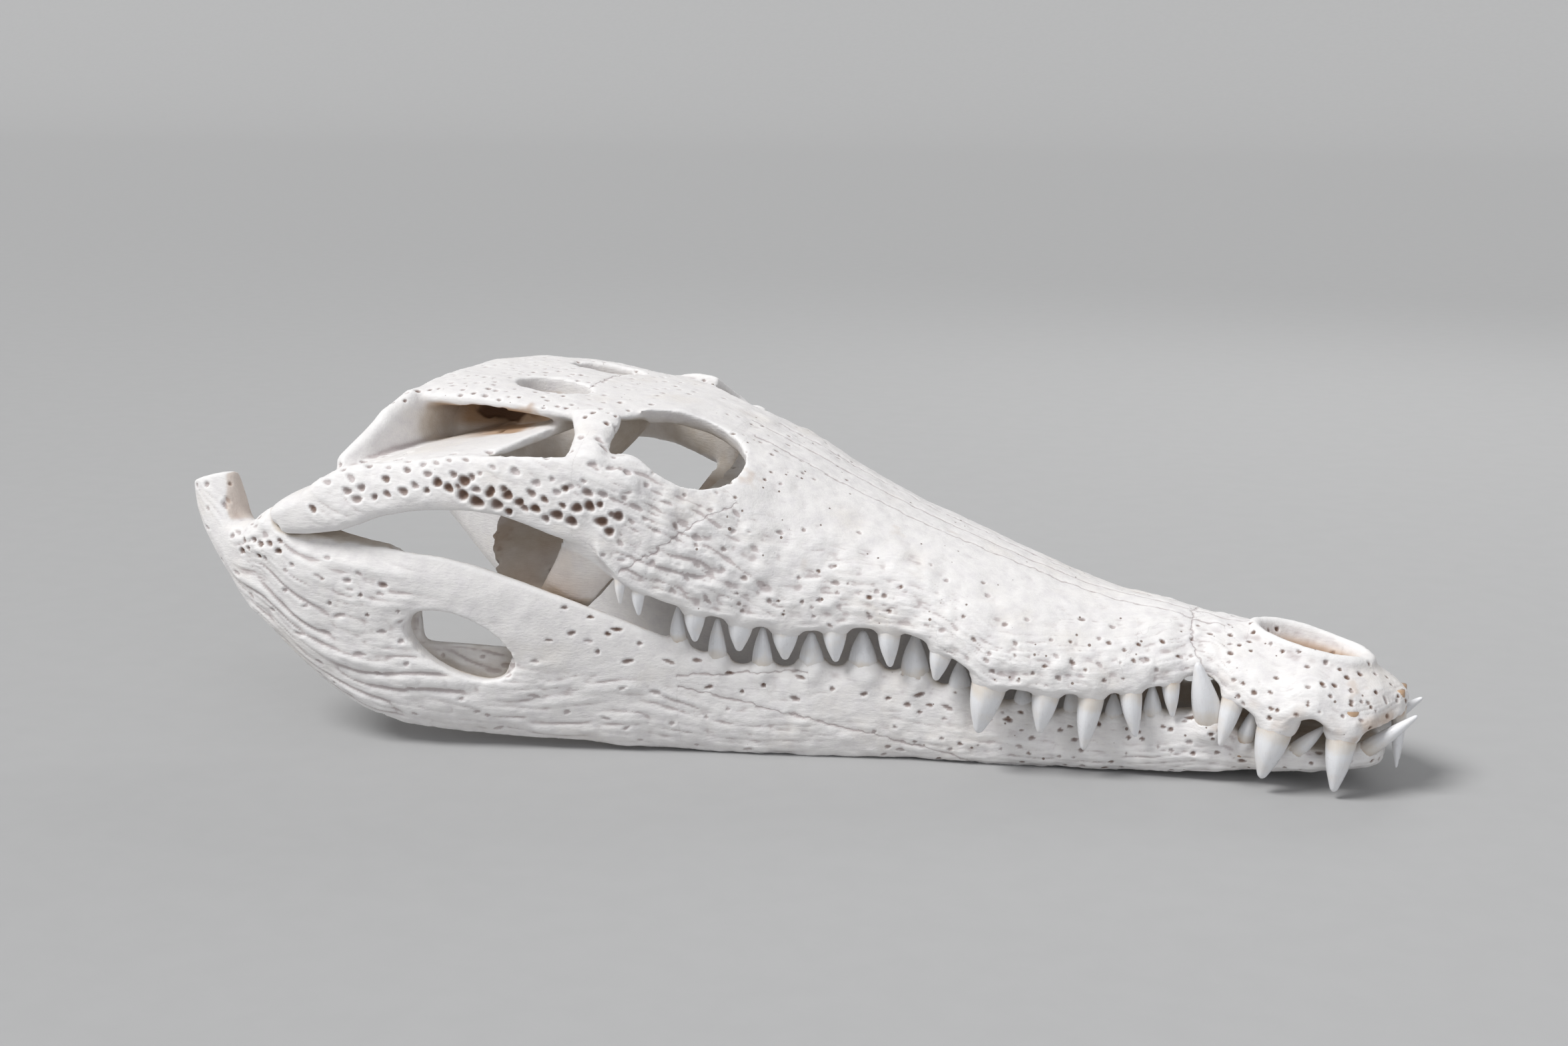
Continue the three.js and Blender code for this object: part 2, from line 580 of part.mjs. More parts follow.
function pieceAt(pieces, [x, y, z]) {
  const probe = box([x, y, z], [1, 1, 1]);
  const holder = pieces.find((piece) => piece.intersect(probe).volume() > 0.5);
  if (!holder) throw new Error(`no bone holds the point ${x}, ${y}, ${z}`);
  return holder;
}

function bone(name, body) {
  const { vertProperties, triVerts } = body.getMesh();
  const geometry = new THREE.BufferGeometry()
    .setAttribute("position", new THREE.BufferAttribute(vertProperties, 3))
    .setIndex(new THREE.BufferAttribute(triVerts, 1));
  geometry.computeVertexNormals();
  const mesh = new THREE.Mesh(geometry, new THREE.MeshStandardMaterial(bonePaint));
  mesh.name = name;
  return mesh;
}

const aboveFloor = box([0, 0, 300], [1200, 600, 600]);
const skull = new THREE.Group();
const craniumPieces = cutAll(craniumBody(), craniumCuts()).decompose();
for (const [name, point] of Object.entries(CRANIUM_PARTS)) {
  skull.add(bone(name, pieceAt(craniumPieces, point)));
}
const jawCut = cutAcross(JAW_CUT, 0, 60, 240, 200);
for (const [sideName, side] of [["right", RIGHT], ["left", LEFT]]) {
  const parted = jawBody(side).intersect(aboveFloor).subtract(jawCut).decompose();
  const bySize = parted.toSorted((p, q) => q.volume() - p.volume());
  skull.add(bone(`dentary_${sideName}`, pieceAt(bySize, [120, 26 * side, 10])));
  skull.add(bone(`rear_jaw_${sideName}`, pieceAt(bySize, [-165, 92 * side, 50])));
}

// The middle of the whole skull's box stands over the origin.
const bounds = new THREE.Box3().setFromObject(skull);
skull.position.x = -(bounds.min.x + bounds.max.x) / 2;
skull.position.z = -bounds.min.z;

const part = new THREE.Group();
part.add(skull);
export default part;
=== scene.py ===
import math
from collections import namedtuple
from functools import partial

import bmesh
import bpy
import numpy as np
from bpy.props import FloatProperty, FloatVectorProperty, IntProperty, PointerProperty
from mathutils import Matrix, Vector
from mathutils.bvhtree import BVHTree
from mathutils.kdtree import KDTree


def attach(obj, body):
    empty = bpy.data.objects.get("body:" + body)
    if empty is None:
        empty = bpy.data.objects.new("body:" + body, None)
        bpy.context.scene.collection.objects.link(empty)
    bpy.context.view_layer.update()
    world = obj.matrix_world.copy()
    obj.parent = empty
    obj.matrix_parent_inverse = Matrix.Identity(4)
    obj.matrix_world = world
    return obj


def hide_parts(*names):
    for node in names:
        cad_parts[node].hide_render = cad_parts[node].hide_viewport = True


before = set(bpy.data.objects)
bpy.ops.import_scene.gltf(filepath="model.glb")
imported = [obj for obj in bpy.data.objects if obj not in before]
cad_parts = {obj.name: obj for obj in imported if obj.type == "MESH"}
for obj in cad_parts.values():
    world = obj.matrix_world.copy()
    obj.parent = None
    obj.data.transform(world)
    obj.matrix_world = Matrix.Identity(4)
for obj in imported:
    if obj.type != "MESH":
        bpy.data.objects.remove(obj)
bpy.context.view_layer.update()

bl_info = {
    "name": "Crocodile Skull",
    "version": (1, 0, 0),
    "blender": (4, 5, 0),
    "location": "3D View > Sidebar > Skull",
    "description": "Dresses a life-size crocodile skull in weathered bone and enamel",
    "category": "Object",
}

# Tables are in millimetres. Their x is measured from a point this far behind the middle of the box.
CENTRE = 14.25
TO_METRES = 0.001
RIGHT = -1
LEFT = 1
CRANIUM_NODES = (
    "premaxilla", "maxilla", "skull_roof", "braincase", "pterygoid",
    "jugal_right", "jugal_left", "quadrate_right", "quadrate_left",
)
# Slabs that the cranium and each jaw branch are parted into: name, rear end, front end and the solids that
# they stand for. Each plane crosses the bone where no hollow is closed all round.
CRANIUM_SLABS = (
    ("snout_tip", 192, None, ("premaxilla",)),
    ("snout", 44, 192, ("maxilla",)),
    ("eye_sockets", -28, 44, ("maxilla",)),
    ("cheeks", -80, -28, ("jugal_right", "jugal_left", "pterygoid")),
    ("ear_region", -130, -80, ("skull_roof", "braincase")),
    ("jaw_joints", None, -130, ("quadrate_right", "quadrate_left")),
)
JAW_SLABS = (("jaw_front", -60, None, "dentary"), ("jaw_rear", None, -60, "rear_jaw"))
# The nostril's middle, and its reach along X and Y; the ear hole's middle and reach along X and Z
NOSTRIL_X = 229
NOSTRIL_REACH = (22, 15)
EAR = (-119, 139)
EAR_REACH = (15, 6)
KNOB = (-199, 104, 90)  # middle of the rough knob at the rear of each jaw branch
JAW_REACH = (-250, 211)  # rear and front end of the lower jaw
PREMAXILLA_SEAM = (191, 47)  # x and level of the seam behind the nostril; it leans back as it rises
BLUR_SHARE = 0.9  # how far a round of blur moves a point towards its neighbours' mean
HOLLOW_REACH = 1.6  # how wide a hollow or ridge is that the painted shade and highlight show
FULL_HOLLOW = 0.28  # depth that counts as a full hollow for the painted shade
EDGE_REACH = 4.0  # how wide a worn edge is
SEAM_DEPTH = 0.3
SEAM_WIDTH = 0.7
SEAM_REACH = 4.0  # how far from a seam its mark still tells the distance
FAR_FROM_SEAM = 99.0
RAY_START = 2.2  # how far off the bone a ray starts
RAY_REACH = 0.12  # length of a ray, in metres
CRANIUM_SAMPLES = 14000  # points from which rays are sent
JAW_SAMPLES = 8000
# Brown stains: centre, reach, strength
STAINS = (
    ((4, -50, 122), 9, 0.45), ((4, 50, 122), 8, 0.4), ((80, -10, 99), 8, 0.35),
    ((-125.5, -62, 157), 5, 0.8), ((-66, -60, 150), 5, 0.5), ((60, -30, 95), 6, 0.3),
    ((250, -22, 45), 6, 0.4), ((-97, -58, 141), 9, 0.7), ((-97, 58, 141), 9, 0.7),
    ((30, -62, 88), 9, 0.3), ((-172, -98, 96), 9, 0.4),
)


def profile(*knots):
    """A smooth curve through (x, value) knots, read at any x."""
    places, values = np.array(sorted(knots), float).T
    before = np.r_[0, np.arange(len(places) - 1)]
    after = np.r_[np.arange(1, len(places)), len(places) - 1]
    slopes = (values[after] - values[before]) / (places[after] - places[before])

    def read(x):
        x = np.clip(x, places[0], places[-1])
        i = np.clip(np.searchsorted(places, x, side="right") - 1, 0, len(places) - 2)
        width = places[i + 1] - places[i]
        t = (x - places[i]) / width
        rise = t * t * (3 - 2 * t)
        bend = slopes[i] * (t**3 - 2 * t**2 + t) + slopes[i + 1] * (t**3 - t**2)
        return values[i] * (1 - rise) + values[i + 1] * rise + bend * width

    return read


# Outlines of the snout and cheek, as in the solids
half_width = profile(
    (269.5, 3), (268, 8), (264, 15), (257, 25), (246, 33), (232, 37), (220, 37.5), (206, 33), (190, 26.5),
    (179, 32), (164, 38.5), (149, 44), (129, 50), (109, 54), (93, 53.5), (73, 53), (50, 55.5), (22, 61.5),
    (-3, 70), (-25, 79), (-42, 86), (-50, 89), (-68, 93), (-91, 97), (-115, 101), (-141, 106), (-161, 109),
    (-189, 108),
)
lower_edge = profile(
    (269.5, 35), (268, 33), (264, 31), (257, 30), (246, 28), (233, 37), (221, 30), (206, 38), (191, 47),
    (179, 44), (164, 41), (149, 39), (129, 40), (109, 41), (97, 49), (84, 56), (73, 60), (51, 61), (22, 59),
    (-3, 64), (-25, 71), (-42, 80), (-55, 92), (-68, 97), (-91, 105), (-115, 107), (-141, 104), (-161, 97),
    (-178, 94), (-189, 93),
)
jaw_bottom = profile(
    (206, 3.4), (170, 1.2), (122, -0.5), (36, -0.9), (-44, 0), (-99, 2.6), (-129, 6), (-158, 12.5),
    (-186, 29.5), (-207, 48.5), (-219, 61), (-232, 80), (-242, 98), (-245, 110),
)
jaw_top = profile(
    (206, 22), (190, 30), (170, 27), (150, 24), (122, 26), (90, 31), (65, 38.5), (36, 40), (1, 40),
    (-21, 49), (-42, 59), (-67, 69), (-92, 78), (-118, 86), (-151, 89), (-180, 93), (-199, 103),
    (-211, 96), (-219, 95), (-221, 106), (-224, 116), (-245, 117),
)
jaw_outer = profile(
    (206, 24), (190, 29), (170, 29), (150, 29.5), (122, 33), (90, 39), (65, 44.5), (36, 51), (1, 60),
    (-21, 67),
)
# Level of the line on the cheek above which the bone is smooth
smooth_line = profile((-170, 119), (-166, 124), (-128, 128), (-97, 132.5), (-80, 137), (-45, 141))
# How far above the lower edge of the cheek its row of large pits runs
pit_row_level = profile((-189, 14), (-147, 14), (-101, 9.5), (-65, 13), (-45, 23), (-34, 28))
ROOT_END = -0.3
# A tooth's radius as a share of its width, from the end of its root to 1 at its tip
tooth_radius = profile(
    (ROOT_END, 0.47), (-0.1, 0.505), (0.05, 0.515), (0.25, 0.485), (0.5, 0.405), (0.7, 0.3), (0.85, 0.195),
    (0.93, 0.14), (0.975, 0.095), (1.0, 0.03),
)

# Upper teeth: x, width, level of the tip, forward lean, outward lean
UPPER_TEETH = (
    (246.2, 11.5, 3.1, -2.4, 1.2), (220.9, 13.5, 6.7, -5.4, 1.2), (203.5, 8.8, 18.4, -4.8, 4.5),
    (177.3, 7, 28.1, 1.5, 1.2), (161.7, 8.9, 19.8, 3.3, 1.2), (147.6, 10.2, 13.3, -3.1, 1.2),
    (130, 11, 20, -2.8, 1.2), (107.1, 14, 18.2, -5.2, 1.2), (87, 9.7, 39.2, -3.2, 1.2),
    (63.5, 9.7, 43.2, 0.8, 1.2), (40.8, 10.4, 44, 0.7, 1.2), (20.5, 11.5, 44, 0, 1.2),
    (3.2, 11, 47.5, -1.2, 1.2), (-14.7, 9.5, 52, 0, 1.2), (-36, 5.9, 64, 0.5, 1.2),
    (-42.6, 4.6, 69, 0.2, 1.2),
)
# Front teeth: root, tip, width
FRONT_UPPER = (((265.5, 5.3, 34), (266, 5.4, 9), 4.6),)
# Lower teeth: x, width, level of the tip, forward lean
LOWER_TEETH = (
    (170.1, 7.7, 39.6, -0.7), (154.1, 7.5, 34.4, -0.4), (137.3, 8.2, 37.8, -0.4), (116.7, 8.2, 36.3, -0.3),
    (90.5, 9.9, 44.3, -0.2), (71.8, 12, 55, -0.2), (50.3, 12.5, 55.5, -0.1), (29.4, 10.9, 54.5, -0.1),
    (9.6, 8.9, 56.5, 0.1), (-8.5, 7.9, 60, 0.1), (-24.6, 6.9, 65, 0.2),
)
FRONT_LOWER = (
    ((252, 13.5, 16), (273.5, 13.5, 34), 6.5),
    ((226, 20, 15), (238.5, 21.5, 28), 6.5),
    ((206.5, 22.5, 18), (212, 23.5, 35), 6.4),
    ((194, 23.5, 24), (188.5, 31.5, 52.6), 12),
)
SNOUT_SHARE = 0.97  # the tooth row's width as a share of the snout's
# How far a tooth's side lies in from that edge, and how deep its root starts in the bone
UPPER_INSET = 0.5
UPPER_DEPTH = 1.5
LOWER_INSET = 1.2
LOWER_DEPTH = 2.5
LOWER_FLARE = 0.6
TOOTH_SIDES = 28
TOOTH_SWELL = 0.12  # extra radius of the enamel
FLUTES = 11

# How far the collar of bone round a tooth is drawn out towards the tip
UPPER_LIFT = 1.3
LOWER_LIFT = 1.6
FULL_TOOTH = 10  # width of a tooth whose collar has its full size
COLLAR_SIDES = 16
# A collar's outline: place along the tooth from its root, and how far it stands out from the tooth
COLLAR_SHAPE = (
    (-7, -0.5), (-5, 1.4), (-2, 2.7), (0.5, 2.7), (2.4, 2.1), (3.8, 1.4), (4.8, 0.3), (5.0, -1.2),
)

# Odd numbers that scramble the lattice of the noise
SCRAMBLE_X = 374761393
SCRAMBLE_Y = 668265263
SCRAMBLE_Z = 2246822519
SCRAMBLE_SEED = 3266489917

# The stage, in metres. The floor bends up in a quarter circle behind the skull.
FLOOR_REACH = 40.0
BEND_START = 6
BEND_RADIUS = 4
MAIN_PLACE = (-0.7, -0.7, 1.35)
MAIN_SPREAD = math.radians(24)
FILL_PLACE = (0.9, -1.1, 0.6)
BACK_PLACE = (0.2, 1.2, 1.0)
PANEL_SIZE = 0.8
COOL_LIGHT = (0.93, 0.95, 1.0)
ROOM_COLOUR = (0.80, 0.81, 0.83, 1)
SPECKLE_COLOUR = (0.3, 0.3, 0.3, 1)


def upper_row():
    """Root, tip and width of each upper tooth of one side."""
    row = list(FRONT_UPPER)
    for x, width, level, lean, flare in UPPER_TEETH:
        y = half_width(x) * SNOUT_SHARE - width / 2 - UPPER_INSET
        row.append(((x, y, lower_edge(x) + UPPER_DEPTH), (x + lean, y + flare, level), width))
    return row


def lower_row():
    """Root, tip and width of each lower tooth of one side."""
    row = list(FRONT_LOWER)
    for x, width, level, lean in LOWER_TEETH:
        y = jaw_outer(x) - width / 2 - LOWER_INSET
        row.append(((x, y, jaw_top(x) - LOWER_DEPTH), (x + lean, y + LOWER_FLARE, level), width))
    return row


def ramp(start, end, value):
    """0 before start and 1 after end, with a soft change between them; start may be the larger."""
    t = np.clip((value - start) / (end - start), 0.0, 1.0)
    return t * t * (3 - 2 * t)


def lattice(ix, iy, iz, seed):
    """A repeatable random number from 0 to 1 for each whole-numbered place."""
    bits = ix.astype(np.uint32) * np.uint32(SCRAMBLE_X) + iy.astype(np.uint32) * np.uint32(SCRAMBLE_Y)
    bits += iz.astype(np.uint32) * np.uint32(SCRAMBLE_Z) + np.uint32(seed * SCRAMBLE_SEED % 2**32)
    bits = (bits ^ (bits >> np.uint32(15))) * np.uint32(SCRAMBLE_Z)
    bits = (bits ^ (bits >> np.uint32(13))) * np.uint32(SCRAMBLE_SEED)
    return (bits ^ (bits >> np.uint32(16))).astype(np.float64) / 2**32


def noise(places, seed):
    """Smooth noise from -1 to 1 at each place, with features about one unit across."""
    base = np.floor(places).astype(np.int64)
    t = places - base
    t = t * t * t * (t * (t * 6 - 15) + 10)
    total = np.zeros(len(places))
    for corner in range(8):
        step = (corner & 1, corner >> 1 & 1, corner >> 2 & 1)
        share = np.ones(len(places))
        for axis in range(3):
            share *= t[:, axis] if step[axis] else 1 - t[:, axis]
        total += share * lattice(*(base[:, axis] + step[axis] for axis in range(3)), seed)
    return total * 2 - 1


def furrows(u, v, w, spacing, length, seed):
    """Rounded ridges along u with narrow furrows: about -1 in a furrow, 1 on a ridge."""
    wander = noise(np.stack([u / (2.2 * length), v / (4 * spacing), w], 1), seed)
    coarse = noise(np.stack([u / length, v / spacing + 0.9 * wander, w], 1), seed + 1)
    fine = noise(np.stack([2.3 * u / length, 2.1 * v / spacing + 0.9 * wander, w + 5], 1), seed + 2)
    return np.clip(3.4 * np.abs(coarse) - 1, -1, 1) * 0.75 + np.clip(3.4 * np.abs(fine) - 1, -1, 1) * 0.25


def read_vectors(rows, key):
    """Points or normals as one flat array."""
    flat = np.empty(len(rows) * 3, np.float32)
    rows.foreach_get(key, flat)
    return flat


def point_tree(points):
    """A search tree over some points."""
    tree = KDTree(len(points))
    for index, point in enumerate(points):
        tree.insert(point, index)
    tree.balance()
    return tree


class Surface:
    """A dense mesh as arrays, with its points in millimetres."""

    def __init__(self, mesh):
        self.mesh = mesh
        self.count = len(mesh.vertices)
        self.points = read_vectors(mesh.vertices, "co").reshape(-1, 3).astype(np.float64) / TO_METRES
        ends = np.empty(len(mesh.edges) * 2, np.int32)
        mesh.edges.foreach_get("vertices", ends)
        self.starts, self.ends = ends.reshape(-1, 2).T.copy()
        self.degree = np.bincount(ends, minlength=self.count).astype(np.float64)

    def around(self, values):
        """The mean of each point's neighbours."""
        total = np.bincount(self.starts, values[self.ends], self.count)
        total += np.bincount(self.ends, values[self.starts], self.count)
        return total / self.degree

    def blurred(self, values, rounds):
        for _ in range(rounds):
            values = values + BLUR_SHARE * (self.around(values) - values)
        return values

    def blurred_points(self, rounds):
        return np.stack([self.blurred(self.points[:, axis], rounds) for axis in range(3)], 1)

    def noise(self, size, seed):
        """Smooth noise with features about size millimetres across."""
        return noise(self.points / size, seed)

    def write(self):
        flat = (self.points * TO_METRES).astype(np.float32).ravel()
        self.mesh.vertices.foreach_set("co", flat)
        self.mesh.update()

    def normals(self):
        self.write()
        return read_vectors(self.mesh.vertex_normals, "vector").reshape(-1, 3).astype(np.float64)

    def mark(self, name, values):
        layer = self.mesh.attributes.new(name, "FLOAT", "POINT")
        layer.data.foreach_set("value", np.clip(values, 0, 1).astype(np.float32))


def add_object(name, data):
    """An object for a mesh, lamp or camera, in the scene."""
    added = bpy.data.objects.new(name, data)
    bpy.context.scene.collection.objects.link(added)
    return added


def swollen(names, swell):
    """Points and faces of CAD nodes, each a little larger, so that neighbours run into each other."""
    points, faces = [], []
    for name in names:
        form = bmesh.new()
        form.from_mesh(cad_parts[name].data)
        bmesh.ops.remove_doubles(form, verts=form.verts, dist=1e-6)
        form.normal_update()
        form.verts.index_update()
        first = len(points)
        points += [vert.co + vert.normal * swell for vert in form.verts]
        faces += [[first + vert.index for vert in face.verts] for face in form.faces]
        form.free()
    return points, faces


def ring_form(rings):
    """Points and faces of a closed form through rings of points, with a fan over each end."""
    count, sides = len(rings), len(rings[0])
    points = [tuple(point) for ring in rings for point in ring]
    points += [tuple(np.mean(rings[0], 0)), tuple(np.mean(rings[-1], 0))]
    faces = []
    for side in range(sides):
        after = (side + 1) % sides
        for ring in range(count - 1):
            here, there = ring * sides, (ring + 1) * sides
            faces.append([here + side, here + after, there + after, there + side])
        last = (count - 1) * sides
        faces.append([count * sides, after, side])
        faces.append([count * sides + 1, last + side, last + after])
    return points, faces


def tooth_axes(root, tip, side):
    """The axis of a tooth, and the directions along the jaw and out of it."""
    base = np.array((root[0] - CENTRE, root[1] * side, root[2]), float)
    axis = np.array((tip[0] - CENTRE, tip[1] * side, tip[2]), float) - base
    out = np.cross(axis / np.linalg.norm(axis), (1.0, 0.0, 0.0))
    out /= np.linalg.norm(out)
    along = np.cross(out, axis)
    return base, axis, out, along / np.linalg.norm(along)


def add_form(points, faces, form):
    """Adds a form in millimetres to points and faces in metres."""
    first = len(points)
    points += [Vector(point) * TO_METRES for point in form[0]]
    faces += [[first + corner for corner in face] for face in form[1]]


def collar(side, root, tip, width, lift):
    """A short swelling of bone around the root of a tooth, drawn out towards the tip by lift."""
    base, axis, out, along = tooth_axes(root, tip, side)
    axis /= np.linalg.norm(axis)
    size = min(1.0, width / FULL_TOOTH)
    angles = np.linspace(0, 2 * math.pi, COLLAR_SIDES, endpoint=False)
    rings = []
    for reach, beyond in COLLAR_SHAPE:
        radius = width / 2 + beyond * size
        centre = base + axis * (reach * size + lift * ramp(-2, 2.4, reach))
        rings.append([centre + radius * (np.cos(a) * along + 0.92 * np.sin(a) * out) for a in angles])
    return ring_form(rings)


def dense_mesh(names, swell, collars, voxel):
    """One fine, even mesh over some CAD nodes and the collars of their teeth."""
    points, faces = swollen(names, swell)
    for form in collars:
        add_form(points, faces, form)
    rough = bpy.data.meshes.new("rough_form")
    rough.from_pydata(points, [], faces)
    holder = add_object("rough_form", rough)
    skin = holder.modifiers.new("Skin", "REMESH")
    skin.mode = "VOXEL"
    skin.voxel_size = voxel
    skin.adaptivity = 0
    depsgraph = bpy.context.evaluated_depsgraph_get()
    dense = bpy.data.meshes.new_from_object(holder.evaluated_get(depsgraph))
    bpy.data.objects.remove(holder)
    bpy.data.meshes.remove(rough)
    return dense


def blur_rounds(reach, voxel):
    """How many rounds of blur reach so many millimetres on a mesh this fine."""
    return max(2, round(reach**2 / (BLUR_SHARE / 2 * (voxel / TO_METRES) ** 2)))


def soften(surface, voxel, narrow=1.2, wide=4.6, wear=0.7, fill=2.6):
    """Rounds off the solids: edges wear back little, and inner corners fill up more."""
    surface.points = surface.blurred_points(blur_rounds(narrow, voxel))
    normals = surface.normals()
    move = surface.blurred_points(blur_rounds(wide, voxel)) - surface.points
    length = np.linalg.norm(move, axis=1)
    outwards = np.sum(move * normals, 1) / (length + 1e-9)
    cap = wear + (fill - wear) * ramp(0.0, 0.6, outwards)
    surface.points += move * (cap / (cap + length))[:, None]
    surface.points = surface.blurred_points(blur_rounds(narrow * 0.8, voxel))


def openness(surface, normals, obstacles, samples, rays=18):
    """How open each point lies to the outside, from 0 deep within the skull to 1 on a free face; where it
    is low, the bone gets painted shade.
    """
    rng = np.random.default_rng(7)
    chosen = rng.choice(surface.count, min(samples, surface.count), replace=False)
    spread = rng.normal(size=(rays, 3))
    spread /= np.linalg.norm(spread, axis=1, keepdims=True)
    seen = np.zeros(len(chosen))
    for row, index in enumerate(chosen):
        normal = normals[index]
        start = Vector((surface.points[index] + normal * RAY_START) * TO_METRES)
        for ray in spread:
            direction = normal * 1.02 + ray  # just over 1, so that every ray leads away from the surface
            if obstacles.ray_cast(start, Vector(direction), RAY_REACH)[0] is None:
                seen[row] += 1
    tree = point_tree(surface.points[chosen])
    nearest = [tree.find(point)[1] for point in surface.points]
    return surface.blurred(seen[nearest] / rays, 10)


def scatter(surface, weight, count, gap, seed):
    """Up to count points of the surface, no two closer than gap, more of them where weight is high."""
    rng = np.random.default_rng(seed)
    likely = np.flatnonzero(weight > 0.02)
    if len(likely) == 0:
        return likely
    order = rng.permutation(likely)
    order = order[rng.random(len(order)) < weight[order]]
    taken, chosen = {}, []
    for index in order:
        cell = tuple(np.floor(surface.points[index] / gap).astype(int))
        near = (
            taken.get((cell[0] + i, cell[1] + j, cell[2] + k))
            for i in (-1, 0, 1) for j in (-1, 0, 1) for k in (-1, 0, 1)
        )
        if any(p is not None and np.sum((p - surface.points[index]) ** 2) < gap * gap for p in near):
            continue
        taken[cell] = surface.points[index]
        chosen.append(index)
        if len(chosen) == count:
            break
    return np.array(chosen, int)


# A stretch of bone with pits: their likelihood at each point, how many at most, least gap, range of radii,
# length of the longest over its width, depth and range of darkness
PitZone = namedtuple("PitZone", "weight count gap radius stretch depth dark")


def stamp_pits(surface, tree, normals, places, flow, zone, seed):
    """Sinks small bowls into the surface, each with a faint rim: how deep and how dark each point gets."""
    rng = np.random.default_rng(seed)
    drop, dark = np.zeros((2, surface.count))
    for index in places:
        radius = rng.uniform(*zone.radius)
        darkness = rng.uniform(*zone.dark)
        stretch = rng.uniform(1, zone.stretch)
        turn = rng.normal(0, 0.25)
        centre, normal = surface.points[index], normals[index]
        ahead = flow[index] - normal * (flow[index] @ normal)
        ahead /= np.linalg.norm(ahead) + 1e-9
        beside = np.cross(normal, ahead)
        along = ahead * math.cos(turn) + beside * math.sin(turn)
        across = beside * math.cos(turn) - ahead * math.sin(turn)
        hits = np.array([hit[1] for hit in tree.find_range(centre, radius * stretch * 1.5)])
        if len(hits) == 0:
            continue
        offset = surface.points[hits] - centre
        a = offset @ along / (radius * stretch)
        b = offset @ across / radius
        c = offset @ normal / (radius * 1.6)
        rho = np.sqrt(a * a + b * b + c * c) * (1 + 0.07 * np.sin(3 * np.arctan2(b, a) + index))
        bowl = np.clip(1 - rho**2, 0, 1) ** 1.2
        rim = np.exp(-(((rho - 1.2) / 0.22) ** 2))
        share = radius / zone.radius[1]
        drop[hits] = np.maximum(drop[hits], zone.depth * share * bowl) - 0.08 * zone.depth * rim
        dark[hits] = np.maximum(dark[hits], darkness * np.clip(1.15 - rho**2, 0, 1))
    return drop, dark


def pitted(surface, normals, flow, zones, seed):
    """All the pits of a bone: how deep and how dark each point gets."""
    tree = point_tree(surface.points)
    drop, dark = np.zeros((2, surface.count))
    for number, zone in enumerate(zones):
        places = scatter(surface, zone.weight, zone.count, zone.gap, seed + number)
        more_drop, more_dark = stamp_pits(surface, tree, normals, places, flow, zone, seed + 50 + number)
        drop = np.where(np.abs(more_drop) > np.abs(drop), more_drop, drop)
        dark = np.maximum(dark, more_dark)
    return drop, dark


def nearest_seam(*distances):
    """The signed distance to whichever seam is nearest, for each point."""
    stack = np.stack(distances)
    return np.take_along_axis(stack, np.abs(stack).argmin(0)[None], 0)[0]


def only_where(mask, distance):
    return np.where(mask, distance, FAR_FROM_SEAM)


def calm_edges(surface, normals, voxel):
    """Low on rounded edges and rims, which are worn smooth, and 1 elsewhere."""
    move = surface.blurred_points(blur_rounds(EDGE_REACH, voxel)) - surface.points
    return 1 - 0.75 * ramp(0.7, 1.7, -np.sum(move * normals, 1))


